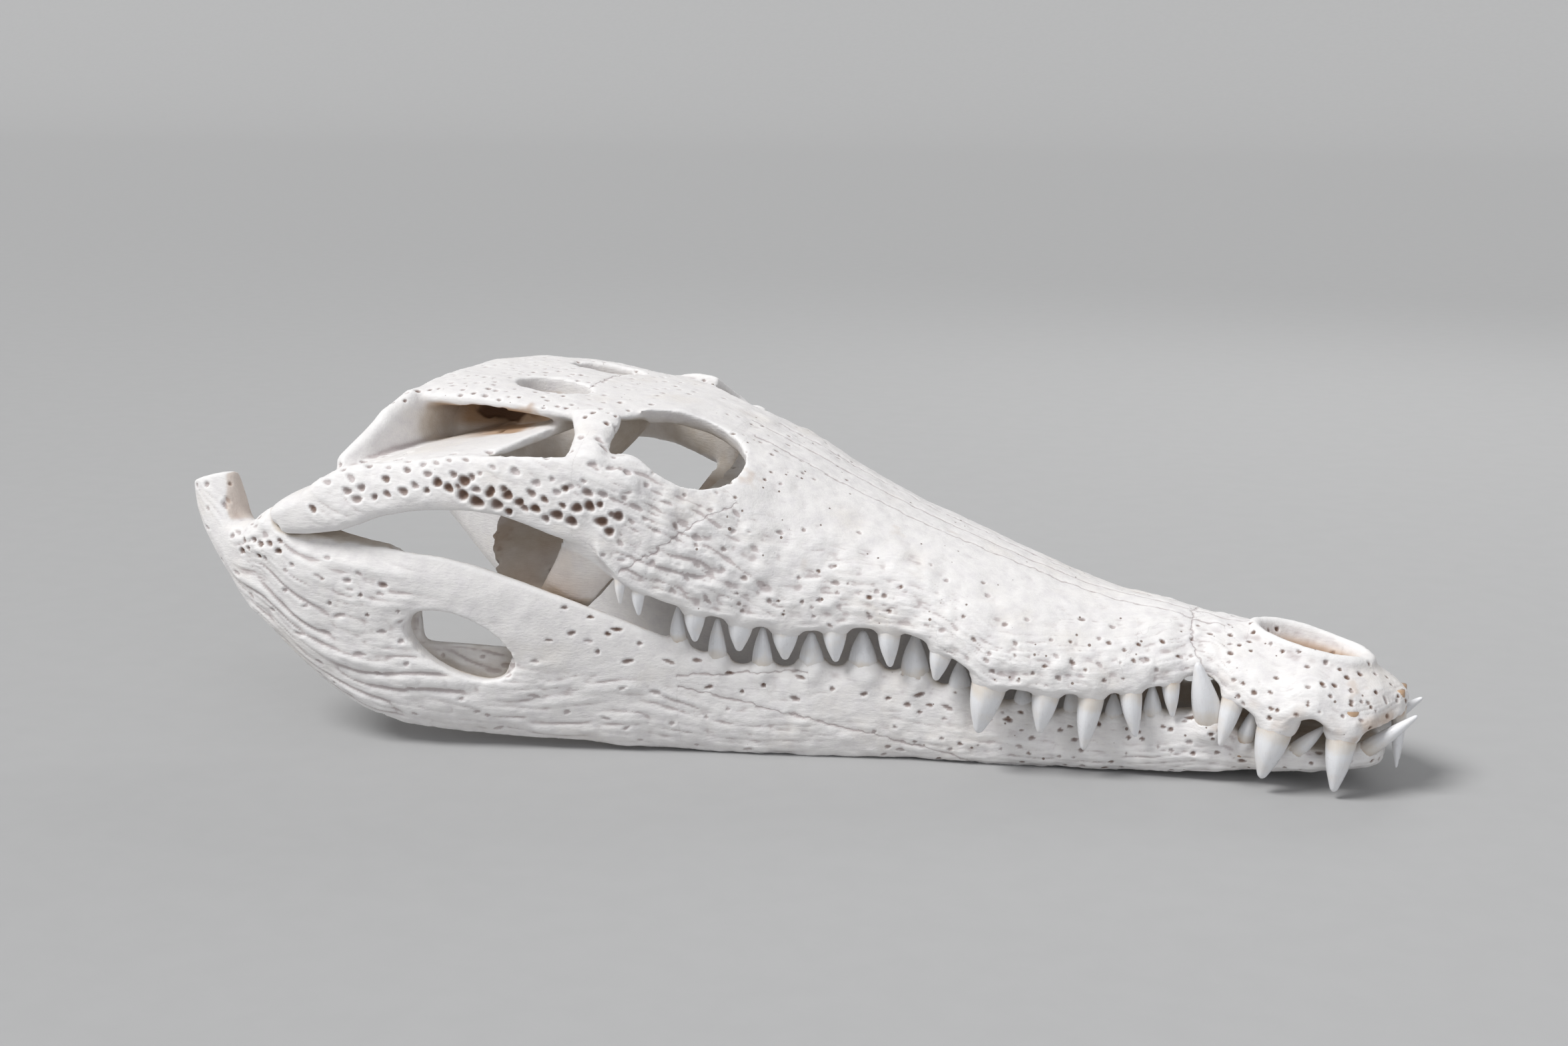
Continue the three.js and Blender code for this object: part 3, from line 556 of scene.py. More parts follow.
def cranium_relief(surface, normals, opened, calm):
    """Height of the cranium's fine relief, with the marks that colour it."""
    # level is the height over the lower edge, counted on round the side of the snout
    x, y, z = surface.points.T
    x = x + CENTRE
    side = np.abs(y)
    up = normals[:, 2]
    outer = ramp(0.3, 0.55, opened)
    face = outer * ramp(-0.45, 0.0, up)
    level = (z - lower_edge(x)) + (half_width(x) - side)
    across = y / 26
    ring = np.hypot((x - NOSTRIL_X) / NOSTRIL_REACH[0], y / NOSTRIL_REACH[1])
    on_top = ramp(38, 44, z)
    nostril = ramp(1.0, 0.7, ring) * on_top

    # The stretches of bone that differ in their relief
    cheek = face * ramp(52, 66, side) * ramp(35, -10, x) * ramp(-184, -168, x)
    cheek *= ramp(1.5, -2.5, z - smooth_line(x))
    front_cheek = cheek * ramp(-70, -35, x)
    lip = ramp(2, 6, level)
    roof = face * ramp(-40, -60, x) * ramp(138, 143, z) * ramp(0.2, 0.6, up)
    snout = face * ramp(-50, -15, x)
    margin = snout * ramp(34, 12, level) * ramp(-10, 40, x)
    flank = snout * ramp(62, 34, level) * ramp(215, 190, x)
    brow = snout * ramp(45, 0, x) * ramp(36, 60, level)

    swell = 0.5 * surface.noise(17, 3) + 0.3 * surface.noise(8, 4)
    # The wrinkles run down towards the front at about 28 degrees
    wrinkles = furrows(0.88 * x - 0.47 * z, 0.47 * x + 0.88 * z, across, 5.2, 18, 11)
    fine = furrows(x, level, across, 2.6, 8, 17)
    lumps = surface.noise(6.4, 19)
    knobs = surface.noise(3.3, 23)
    height = wrinkles * (0.30 * cheek * lip + 0.42 * front_cheek * lip + 0.10 * flank)
    height += fine * (0.09 * flank + 0.12 * margin + 0.05 * snout + 0.05 * roof + 0.10 * cheek * lip)
    height += lumps * (0.45 * flank + 0.26 * margin + 0.28 * brow + 0.26 * snout + 0.20 * cheek)
    height += knobs * (0.10 * snout + 0.12 * margin + 0.14 * roof + 0.03 * outer)
    height = height * calm + swell * (0.25 + 0.5 * outer * calm)

    row = level - pit_row_level(x)
    rear_cheek = cheek * ramp(-34, -44, x)
    zones = (
        PitZone(rear_cheek * ramp(-6, -4, row) * ramp(6, 3, row) * ramp(-128, -104, x),
                46, 5.0, (1.9, 2.9), 1.5, 2.6, (0.8, 1.0)),
        PitZone(rear_cheek * ramp(-5, -3, row) * ramp(13, 8, row) * ramp(-178, -150, x),
                60, 5.2, (1.4, 2.1), 1.7, 1.9, (0.45, 0.85)),
        PitZone(rear_cheek * ramp(6, 9, row), 120, 4.8, (1.2, 2.0), 2.0, 1.4, (0.05, 0.45)),
        PitZone(front_cheek * ramp(4, 8, level), 50, 6.0, (1.0, 1.6), 2.4, 0.8, (0.0, 0.4)),
        PitZone(roof, 220, 3.6, (0.8, 1.5), 1.3, 1.2, (0.3, 0.85)),
        PitZone(brow, 60, 4.8, (0.8, 1.3), 1.5, 0.7, (0.2, 0.75)),
        PitZone(margin * ramp(3, 6, level), 120, 4.6, (0.8, 1.3), 1.7, 0.9, (0.35, 0.9)),
        PitZone(flank, 100, 6.0, (0.9, 1.5), 1.8, 0.8, (0.1, 0.6)),
        PitZone(snout * ramp(185, 205, x) * (1 - nostril), 90, 4.2, (0.9, 1.4), 1.3, 1.0, (0.5, 1.0)),
    )
    flow = np.tile((1.0, 0.0, -0.4), (surface.count, 1))
    drop, dark = pitted(surface, normals, flow, zones, 100)
    height -= drop

    # The raised rim of the nostril, and the ear hole, sunk and painted dark as shade
    height += 0.9 * np.exp(-(((ring - 1.08) / 0.13) ** 2)) * on_top
    from_ear = np.hypot((x - EAR[0]) / EAR_REACH[0], (z - EAR[1]) / EAR_REACH[1])
    from_ear += 0.25 * surface.noise(4, 45)
    ear_hole = ramp(1.1, 0.75, from_ear) * ramp(16, 26, side) * ramp(64, 58, side)
    height -= 2.0 * ear_hole
    # Painted shade: the ear hole is painted dark brown, as the shade inside it
    dark = np.maximum(dark, 0.95 * ear_hole)

    # The ragged bone behind the palate, the brown stains, and painted shade in the ear recess, in the
    # nostril and under the cheek
    ragged = ramp(-106, -122, x) * ramp(30, 45, side) * ramp(86, 80, side)
    ragged *= ramp(102, 96, z) * ramp(54, 60, z)
    height += ragged * (1.7 * surface.noise(3.2, 41) - 0.5)
    stain_and_shade = 0.6 * ragged
    for (sx, sy, sz), reach, strength in STAINS:
        away = np.sqrt((x - sx) ** 2 + (y - sy) ** 2 + (z - sz) ** 2)
        away += 3 * surface.noise(3, 43)
        stain_and_shade = np.maximum(stain_and_shade, strength * ramp(reach, reach * 0.2, away))
    # Painted shade: the recess round the ear turns brown where little open space reaches it
    recess = ramp(-150, -136, x) * ramp(-92, -102, x) * ramp(72, 62, side)
    recess *= ramp(148, 142, z) * ramp(128, 134, z) * ramp(0.8, 0.5, opened)
    stain_and_shade = np.maximum(stain_and_shade, 0.8 * recess)
    # Inside the nostril: a tan colour, and painted shade that darkens it
    stain_and_shade = np.maximum(stain_and_shade, 0.7 * nostril)
    dark = np.maximum(dark, 0.8 * ramp(0.95, 0.5, ring) * on_top)
    sockets = outer * ramp(155, 185, x) * ramp(13, 2, level)
    sockets *= ramp(-0.5, 1.0, surface.noise(8, 91) + 0.3 * knobs)
    stain_and_shade = np.maximum(stain_and_shade, 0.5 * sockets)
    # Painted shade: brown-tan on the bone under the cheek's lower edge
    under_cheek = ramp(-36, -48, x) * ramp(-2, -6, z - lower_edge(x))
    stain_and_shade = np.maximum(stain_and_shade, (0.36 + 0.14 * surface.noise(12, 95)) * under_cheek)
    dots = (0.75 * snout + 0.25 * margin + 0.55 * roof + 0.25 * cheek) * (1 - nostril)

    # Seams: behind the nostril, along the middle and each side of the nose, on the cheek, across the roof
    wiggle = 1.1 * surface.noise(2.3, 47)
    free = face > 0.5
    from_nose = side - 9 - 7 * ramp(150, 0, x)
    seam = nearest_seam(
        only_where(free, x - (PREMAXILLA_SEAM[0] - 0.5 * (z - PREMAXILLA_SEAM[1])) + wiggle),
        only_where(free & (up > 0.3) & (x > -15) & (x < 205), y + 0.4 * wiggle),
        only_where(free & (up > 0.2) & (x > -8) & (x < 196), from_nose + wiggle),
        only_where((cheek > 0.4) & (x > -60), x + 44 - 0.8 * level + 1.4 * wiggle),
        only_where((roof > 0.4) & (side < 26), x + 84 + wiggle),
    )
    return height, dark, stain_and_shade, seam, dots


def jaw_relief(surface, normals, opened, calm, side_sign):
    """The same for one branch of the lower jaw."""
    # share is the height as a share of the branch's height there
    x, y, z = surface.points.T
    x = x + CENTRE
    outward = ramp(-0.15, 0.35, normals[:, 1] * side_sign)
    outer = ramp(0.2, 0.5, opened) * outward
    share = (z - jaw_bottom(x)) / (jaw_top(x) - jaw_bottom(x))
    middle = ramp(25, -50, x)
    rear = ramp(-85, -125, x)
    level = share * (34 + 34 * ramp(-30, -110, x))
    across = y / 30 + 7

    swell = 0.45 * surface.noise(19, 53) + 0.3 * surface.noise(8, 54)
    broad = furrows(x, level, across, 5.6, 26, 61)
    grooves = furrows(x, level, across, 3.4, 24, 65)
    fine = furrows(x, level, across, 2.4, 9, 67)
    lumps = surface.noise(5.2, 69)
    hole_top = ramp(-136, -124, x) * ramp(0.5, 0.6, share)
    smooth_top = ramp(0.97, 0.82 - 0.3 * middle * (1 - rear), share) * (1 - 0.85 * hole_top)
    heel_calm = 1 - 0.8 * ramp(-205, -222, x)
    height = broad * (0.14 + 0.16 * middle + 0.55 * rear) * smooth_top
    height += grooves * (0.22 + 0.26 * middle) * (1 - 0.7 * rear) * smooth_top
    height += fine * (0.12 * (1 - middle) + 0.05 * smooth_top)
    height += lumps * (0.12 + 0.10 * rear * smooth_top + 0.22 * (1 - middle))
    height += 0.05 * surface.noise(2.6, 71)
    height = outer * calm * heel_calm * height + swell * (0.25 + 0.5 * outer * calm)
    knob = np.sqrt((x - KNOB[0]) ** 2 + (z - KNOB[2]) ** 2 + ((np.abs(y) - KNOB[1]) / 2) ** 2)
    height += outer * ramp(13, 5, knob) * (0.6 * surface.noise(3.4, 75) + 0.3)

    slits = ramp(0.66, 0.74, share) * ramp(0.95, 0.88, share)
    zones = (
        PitZone(outer * ramp(40, 90, x), 90, 4.8, (0.8, 1.3), 1.9, 0.9, (0.25, 0.85)),
        PitZone(outer * slits * ramp(-80, -50, x), 34, 9, (0.9, 1.3), 3.4, 1.1, (0.55, 0.95)),
        PitZone(outer * smooth_top * ramp(40, 0, x), 60, 8.0, (0.9, 1.4), 3.2, 0.9, (0.0, 0.3)),
        PitZone(outer * rear * ramp(0.55, 0.7, share) * smooth_top,
                16, 6, (1.0, 1.6), 1.8, 1.3, (0.3, 0.7)),
        PitZone(outer * ramp(15, 8, knob) * ramp(92, 86, z),
                9, 4, (1.0, 1.6), 1.6, 1.6, (0.6, 0.95)),
    )
    # Pits are drawn out along the lower edge of the jaw
    slope = np.gradient(jaw_bottom(np.arange(*JAW_REACH)))
    flow = np.zeros((surface.count, 3))
    flow[:, 0] = 1
    flow[:, 2] = slope[np.clip(x - JAW_REACH[0], 0, len(slope) - 1).astype(int)] * 0.5
    drop, dark = pitted(surface, normals, flow, zones, 300)
    # Painted shade: brown-tan on the jaw's inner faces, where little open space reaches
    stain_and_shade = 0.35 * (1 - ramp(0.15, 0.5, opened)) * (1 - outward)
    heel = ramp(-208, -214, x) * ramp(90, 96, z) * ramp(0.2, 0.6, normals[:, 0])
    stain_and_shade = np.maximum(stain_and_shade, 0.45 * heel)
    patchy = ramp(-0.5, 1.0, surface.noise(8, 93) + 0.3 * lumps)
    front_sockets = 0.45 * outer * ramp(160, 180, x) * ramp(0.7, 0.95, share)
    stain_and_shade = np.maximum(stain_and_shade, front_sockets * patchy)
    dots = outer * (0.2 + 0.7 * ramp(0, 120, x))

    wiggle = 0.9 * surface.noise(2.6, 73)
    seam = nearest_seam(
        only_where((outer > 0.5) & (x > -24) & (x < 95), z - 31 + 0.24 * (x + 24) + wiggle),
        only_where((outer > 0.5) & (x > -24) & (x < 30), z - 36 - 0.05 * (x + 24) + wiggle),
    )
    return height - drop, dark, stain_and_shade, seam, dots


def dress(surface, relief, opened, voxel):
    """Raises the relief and writes the marks that the bone's material reads."""
    height, dark, stain_and_shade, seam, dots = relief
    groove = SEAM_DEPTH * np.exp(-((seam / SEAM_WIDTH) ** 2))
    surface.points += surface.normals() * (height - groove)[:, None]
    surface.points[:, 2] = np.maximum(surface.points[:, 2], 0.0)
    normals = surface.normals()
    move = surface.blurred_points(blur_rounds(HOLLOW_REACH, voxel)) - surface.points
    hollow = np.sum(move * normals, 1)
    # Painted shade in the hollows
    surface.mark("hollow", hollow / FULL_HOLLOW)
    # Painted highlight on the ridges
    surface.mark("ridge", -hollow / FULL_HOLLOW)
    surface.mark("pit", dark)
    # Real stains together with painted shade in recesses, in the nostril and under the cheek and jaw
    surface.mark("stain_and_shade", stain_and_shade)
    surface.mark("seam", 0.5 + seam / (2 * SEAM_REACH))
    surface.mark("dots", dots)
    # Painted shade: faces that little open space reaches are marked for a tan shade
    surface.mark("inside", 1 - opened)


def piece_object(name, mesh, material, nodes=()):
    mesh.name = name
    piece = add_object(name, mesh)
    mesh.materials.clear()
    mesh.materials.append(material)
    mesh.polygons.foreach_set("use_smooth", np.ones(len(mesh.polygons), bool))
    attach(piece, "root")
    if nodes:
        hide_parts(*nodes)
    return piece


def keep_shading(mesh):
    """Stores the smooth normals, so that a piece cut from the mesh shades as the whole does."""
    layer = mesh.attributes.new("shading", "FLOAT_VECTOR", "POINT")
    layer.data.foreach_set("vector", read_vectors(mesh.vertex_normals, "vector"))


def use_shading(mesh):
    normals = read_vectors(mesh.attributes["shading"].data, "vector")
    mesh.attributes.remove(mesh.attributes["shading"])
    mesh.normals_split_custom_set_from_vertices(normals.reshape(-1, 3))


def cut_slab(mesh, low, high):
    """The part of a closed mesh between two planes across X, closed again at the planes."""
    slab = bmesh.new()
    slab.from_mesh(mesh)
    for place, outside in ((low, -1), (high, 1)):
        if place is None:
            continue
        geometry = slab.verts[:] + slab.edges[:] + slab.faces[:]
        cut = bmesh.ops.bisect_plane(
            slab, geom=geometry, plane_co=((place - CENTRE) * TO_METRES, 0, 0), plane_no=(outside, 0, 0),
            clear_outer=True, dist=1e-7,
        )
        rim = [item for item in cut["geom_cut"] if isinstance(item, bmesh.types.BMEdge)]
        bmesh.ops.holes_fill(slab, edges=rim, sides=0)
    part = bpy.data.meshes.new("slab")
    slab.to_mesh(part)
    slab.free()
    return part


class Graph:
    """A material's node tree, built from the bottom up."""

    def __init__(self, name):
        self.material = bpy.data.materials.new(name)
        self.material.use_nodes = True
        self.tree = self.material.node_tree

    def add(self, kind, settings=(), **inputs):
        node = self.tree.nodes.new("ShaderNode" + kind)
        for key, value in dict(settings).items():
            setattr(node, key, value)
        self.feed(node, **inputs)
        return node

    def feed(self, node, **inputs):
        for key, value in inputs.items():
            self.put(node.inputs[key.replace("_", " ")], value)

    def shade(self, **inputs):
        self.feed(self.tree.nodes["Principled BSDF"], **inputs)

    def put(self, socket, value):
        if isinstance(value, bpy.types.NodeSocket):
            self.tree.links.new(value, socket)
        else:
            socket.default_value = value

    def mark(self, name):
        return self.add("Attribute", {"attribute_name": name}).outputs["Fac"]

    def maths(self, operation, first, second=0.0, third=0.0):
        node = self.add("Math", {"operation": operation})
        for socket, value in zip(node.inputs, (first, second, third)):
            self.put(socket, value)
        return node.outputs[0]

    def between(self, value, start, end, low=0.0, high=1.0):
        soft = {"interpolation_type": "SMOOTHSTEP"}
        limits = {"From_Min": start, "From_Max": end, "To_Min": low, "To_Max": high}
        return self.add("MapRange", soft, Value=value, **limits).outputs[0]

    def mix(self, share, first, second):
        node = self.add("Mix", {"data_type": "RGBA"})
        for socket, value in zip((node.inputs[0], node.inputs[6], node.inputs[7]), (share, first, second)):
            self.put(socket, value)
        return node.outputs[2]

    def texture(self, kind, scale, stretch=(1, 1, 1), **inputs):
        place = self.add("TexCoord").outputs["Object"]
        if stretch != (1, 1, 1):
            place = self.add("Mapping", Vector=place, Scale=stretch).outputs[0]
        return self.add(kind, Vector=place, Scale=scale, **inputs)

    def noise(self, scale, stretch=(1, 1, 1), **inputs):
        return self.texture("TexNoise", scale, stretch, **inputs).outputs["Fac"]


def bone_material(colours):
    """Dry bleached bone: white, with greyish painted shade in its furrows and a painted highlight on its
    ridges, brown in its pits, and tan painted shade on its hidden inner faces.
    """
    g = Graph("bleached_bone")
    pit, stain_and_shade, hollow = g.mark("pit"), g.mark("stain_and_shade"), g.mark("hollow")
    inside, ridge = g.mark("inside"), g.mark("ridge")
    patches = g.noise(34, Detail=4.0)
    mottle = g.noise(210, Detail=5.0, Roughness=0.6)
    fibre = g.noise(1, (260, 1300, 1100), Detail=3.0)
    grains = g.noise(1500, Detail=2.0)
    holes = g.texture("TexVoronoi", 205)
    hole_size = g.add("SeparateColor", Color=holes.outputs["Color"]).outputs["Red"]

    colour = g.mix(g.between(patches, 0.48, 0.75, 0, 0.55), colours.bone, colours.cream)
    colour = g.mix(g.between(mottle, 0.4, 0.7, 0, 0.4), colour, colours.shade)
    colour = g.mix(g.between(fibre, 0.5, 0.8, 0, 0.25), colour, colours.shade)
    # Painted highlight on ridges and edges
    colour = g.mix(g.between(ridge, 0.1, 0.9, 0, 0.5), colour, colours.highlight)
    # Painted shade: greyish in furrows and hollows
    colour = g.mix(g.between(hollow, 0.05, 0.9, 0, 0.75), colour, colours.furrow)
    # Painted shade: tan on the hidden inner faces, where rays from outside hardly reach
    inner = g.maths("MULTIPLY", g.between(inside, 0.45, 0.92), g.between(mottle, 0.2, 0.7, 0.6, 1.0))
    colour = g.mix(g.maths("MULTIPLY", inner, 0.8), colour, colours.inside)
    # Brown of the stains, which also paints shade in recesses, in the nostril and under the cheek and jaw
    colour = g.mix(g.between(stain_and_shade, 0.05, 0.9, 0, 0.85), colour, colours.stain_and_shade)
    zigzag = g.maths("SUBTRACT", g.noise(420, Detail=2.0), 0.5)
    seam_offset = g.maths("SUBTRACT", g.mark("seam"), 0.5)
    from_seam = g.maths("ABSOLUTE", g.maths("MULTIPLY_ADD", zigzag, 0.16, seam_offset))
    seam = g.between(from_seam, 0.05, 0.02)
    colour = g.mix(g.maths("MULTIPLY", seam, 0.55), colour, colours.furrow)
    hole_reach = g.maths("MULTIPLY", g.between(hole_size, 0.25, 1.0, 0.0, 0.17), g.mark("dots"))
    pore = g.between(g.maths("SUBTRACT", hole_reach, holes.outputs["Distance"]), -0.02, 0.035)
    colour = g.mix(g.maths("MULTIPLY", pore, 0.8), colour, colours.pit)
    # Brown of the pits, which also paints the shade in the ear hole and the nostril
    colour = g.mix(g.between(pit, 0.12, 0.95, 0, 0.92), colour, colours.pit)

    relief = g.maths("MULTIPLY_ADD", grains, 0.35, fibre)
    relief = g.maths("MULTIPLY_ADD", pore, -1.2, relief)
    relief = g.maths("MULTIPLY_ADD", seam, -1.0, relief)
    bump = g.add("Bump", Strength=0.55, Distance=0.00035, Height=relief).outputs[0]
    roughness = g.between(mottle, 0.3, 0.7, 0.5, 0.68)
    g.shade(Base_Color=colour, Roughness=roughness, Specular_IOR_Level=0.35, Normal=bump)
    return g.material


def enamel_material(colours):
    """Smooth tooth enamel, bluish white with an ivory root, brown where it leaves the bone."""
    g = Graph("tooth_enamel")
    root = g.mark("root")
    patches = g.noise(140, Detail=3.0)
    streaks = g.noise(1, (1500, 1500, 160), Detail=2.0)
    colour = g.mix(g.between(patches, 0.45, 0.75, 0, 0.5), colours.enamel, colours.cream)
    colour = g.mix(g.between(streaks, 0.5, 0.75, 0, 0.3), colour, colours.shade)
    worn_root = g.maths("MULTIPLY_ADD", patches, 0.3, root)
    colour = g.mix(g.between(worn_root, 0.72, 1.0, 0, 0.6), colour, colours.ivory)
    colour = g.mix(g.between(worn_root, 0.95, 1.15, 0, 0.8), colour, colours.stain_and_shade)
    roughness = g.between(patches, 0.3, 0.7, 0.26, 0.42)
    bump = g.add("Bump", Strength=0.35, Distance=0.0002, Height=streaks).outputs[0]
    g.shade(Base_Color=colour, Roughness=roughness, Coat_Weight=0.15, Coat_Roughness=0.2, Normal=bump)
    return g.material


def material(name, make, colours):
    return bpy.data.materials.get(name) or make(colours)


def tooth_form(side, root, tip, width, seed):
    """A fine tooth: a curved, slightly flat cone with a weak keel front and rear and shallow flutes."""
    base, axis, out, along = tooth_axes(root, tip, side)
    bow = np.array((0.0, side, 0.0)) * np.linalg.norm(axis) * 0.05
    angles = np.linspace(0, 2 * math.pi, TOOTH_SIDES, endpoint=False)
    shares = np.r_[np.linspace(ROOT_END, 0.85, 17), 0.9, 0.94, 0.97, 0.99, 1.0]
    rings = []
    for share in shares:
        centre = base + axis * share + bow * math.sin(math.pi * min(share, 1))
        radius = tooth_radius(share) * width + TOOTH_SWELL
        keel = 1 + 0.06 * np.cos(2 * angles) ** 8 * ramp(0.0, 0.3, share)
        flutes = 1 + 0.012 * np.cos(FLUTES * angles + seed) * ramp(0.95, 0.5, share)
        across = radius * keel * flutes
        rings.append([
            centre + across[i] * (np.cos(a) * along + 0.93 * np.sin(a) * out) for i, a in enumerate(angles)
        ])
    return ring_form(rings), np.repeat(1 - shares, len(angles))


def teeth_piece(name, row, colours):
    """The teeth of one jaw as one piece, each point marked with its nearness to the root."""
    points, faces, root_mark = [], [], []
    for number, (root, tip, width) in enumerate(row):
        for side in (RIGHT, LEFT):
            form, shares = tooth_form(side, root, tip, width, number)
            add_form(points, faces, form)
            root_mark += [*shares, 1 - ROOT_END, 0.0]
    mesh = bpy.data.meshes.new(name)
    mesh.from_pydata(points, [], faces)
    layer = mesh.attributes.new("root", "FLOAT", "POINT")
    layer.data.foreach_set("value", np.clip(root_mark, 0, 1 - ROOT_END).astype(np.float32))
    whole = bmesh.new()
    whole.from_mesh(mesh)
    bmesh.ops.recalc_face_normals(whole, faces=whole.faces)
    whole.to_mesh(mesh)
    whole.free()
    return piece_object(name, mesh, material("tooth_enamel", enamel_material, colours))


def all_obstacles():
    """The solids, as something for rays to meet."""
    points, faces = swollen(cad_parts, 0.0)
    return BVHTree.FromPolygons(points, faces)


def colour_property(name, description, shade):
    """An opaque colour setting."""
    return FloatVectorProperty(
        name=name, description=description, subtype="COLOR", size=4, default=(*shade, 1), min=0, max=1)


class SkullColours(bpy.types.PropertyGroup):
    bone: colour_property("Bone", "Main colour of the bleached bone", (0.83, 0.81, 0.795))
    # Painted highlight on convex ridges and edges
    highlight: colour_property("Ridges", "Colour of worn ridges and edges", (0.90, 0.89, 0.88))
    shade: colour_property("Mottling", "Faint grey patches in the bone", (0.68, 0.65, 0.67))
    cream: colour_property("Cream", "Warm patches in the bone", (0.79, 0.74, 0.68))
    # Furrows: painted shade in furrows and hollows; the seams between bones take this colour too
    furrow: colour_property("Furrows", "Colour in furrows and hollows", (0.46, 0.40, 0.395))
    # Pits: brown in pits and pores, and the painted shade of the ear hole and the nostril
    pit: colour_property("Pits", "Dark brown in pits and small holes", (0.13, 0.065, 0.035))
    # Stains: real brown stains, and painted shade in the ear recess, the nostril, under the cheek and on
    # the jaw's inner faces
    stain_and_shade: colour_property("Stains", "Yellowish brown stains", (0.42, 0.24, 0.11))
    # Painted shade: tan on faces that little open space reaches
    inside: colour_property("Inside", "Tan of the inner faces", (0.58, 0.51, 0.42))
    enamel: colour_property("Enamel", "Colour of the crowns of the teeth", (0.80, 0.805, 0.82))
    ivory: colour_property("Tooth roots", "Colour of the teeth near the bone", (0.66, 0.58, 0.48))


class SkullRelief(bpy.types.PropertyGroup):
    grain: FloatProperty(
        name="Mesh size", description="Width of a face of the bone's meshes", unit="LENGTH",
        default=0.0008, min=0.0004, max=0.004)
    quick_grain: FloatProperty(
        name="Quick mesh size", description="The same for a quick look", unit="LENGTH",
        default=0.0014, min=0.0008, max=0.006)
    seam_fill: FloatProperty(
        name="Seam fill", description="How far each bone swells to close the gap to the next",
        unit="LENGTH", default=0.0003, min=0.0002, max=0.001)


class SkullStage(bpy.types.PropertyGroup):
    azimuth: FloatProperty(
        name="Azimuth", description="Direction of the camera round the skull", unit="ROTATION",
        default=math.radians(20))
    elevation: FloatProperty(
        name="Elevation", description="Height of the camera above the horizon", unit="ROTATION",
        default=math.radians(12))
    distance: FloatProperty(
        name="Distance", description="From the camera to the point it looks at", unit="LENGTH",
        default=0.96)
    aim: FloatVectorProperty(
        name="Aim", description="The point that the camera looks at", subtype="XYZ", unit="LENGTH",
        size=3, default=(-CENTRE * TO_METRES, 0.0, 0.090))
    lens: IntProperty(name="Lens", description="Focal length in millimetres", default=50, min=20, max=200)
    key_strength: FloatProperty(
        name="Main light", description="Strength of the soft light from above", default=2.6)
    room_light: FloatProperty(
        name="Room light", description="Strength of the even light from all round", default=0.45)
    fill_power: FloatProperty(
        name="Fill light", description="Power of the lights beside and behind", unit="POWER", default=3)
    floor: colour_property("Floor", "Colour of the floor", (0.42, 0.42, 0.42))


def bone_pieces(nodes, collars, samples, make_relief, slabs):
    """Builds the bone over some CAD nodes, raises its relief and parts it into its pieces."""
    scene = bpy.context.scene
    voxel = scene.skull_relief.grain
    mesh = dense_mesh(nodes, scene.skull_relief.seam_fill, collars, voxel)
    surface = Surface(mesh)
    soften(surface, voxel)
    normals = surface.normals()
    opened = openness(surface, normals, all_obstacles(), samples)
    relief = make_relief(surface, normals, opened, calm_edges(surface, normals, voxel))
    dress(surface, relief, opened, voxel)
    surface.write()
    keep_shading(mesh)
    finish = material("bleached_bone", bone_material, scene.skull_colours)
    for name, low, high, replaced in slabs:
        piece = piece_object(name, cut_slab(mesh, low, high), finish, replaced)
        use_shading(piece.data)
    bpy.data.meshes.remove(mesh)


class SKULL_OT_cranium(bpy.types.Operator):
    """Builds the cranium as weathered bone, in pieces one behind the other"""

    bl_idname = "skull.cranium"
    bl_label = "Cranium"

    def execute(self, context):
        collars = [collar(side, *tooth, UPPER_LIFT) for tooth in upper_row() for side in (RIGHT, LEFT)]
        bone_pieces(CRANIUM_NODES, collars, CRANIUM_SAMPLES, cranium_relief, CRANIUM_SLABS)
        return {"FINISHED"}


class SKULL_OT_lower_jaw(bpy.types.Operator):
    """Builds the two branches of the lower jaw as weathered bone, each in a front and a rear piece"""

    bl_idname = "skull.lower_jaw"
    bl_label = "Lower jaw"

    def execute(self, context):
        for side, side_name in ((RIGHT, "right"), (LEFT, "left")):
            nodes = [f"{node}_{side_name}" for *_, node in JAW_SLABS]
            collars = [collar(side, *tooth, LOWER_LIFT) for tooth in lower_row()]
            slabs = [
                (f"{name}_{side_name}", low, high, (f"{node}_{side_name}",))
                for name, low, high, node in JAW_SLABS
            ]
            bone_pieces(nodes, collars, JAW_SAMPLES, partial(jaw_relief, side_sign=side), slabs)
        return {"FINISHED"}


class SKULL_OT_teeth(bpy.types.Operator):
    """Builds the upper and lower teeth with their enamel"""

    bl_idname = "skull.teeth"
    bl_label = "Teeth"

    def execute(self, context):
        colours = context.scene.skull_colours
        teeth_piece("upper_teeth", upper_row(), colours)
        teeth_piece("lower_teeth", lower_row(), colours)
        return {"FINISHED"}


def place_light(name, kind, place, target, **settings):
    """A light with its settings, turned to its target."""
    lamp = bpy.data.lights.new(name, kind)
    for key, value in settings.items():
        setattr(lamp, key, value)
    holder = add_object(name, lamp)
    holder.location = place
    holder.rotation_euler = (target - Vector(place)).to_track_quat("-Z", "Y").to_euler()


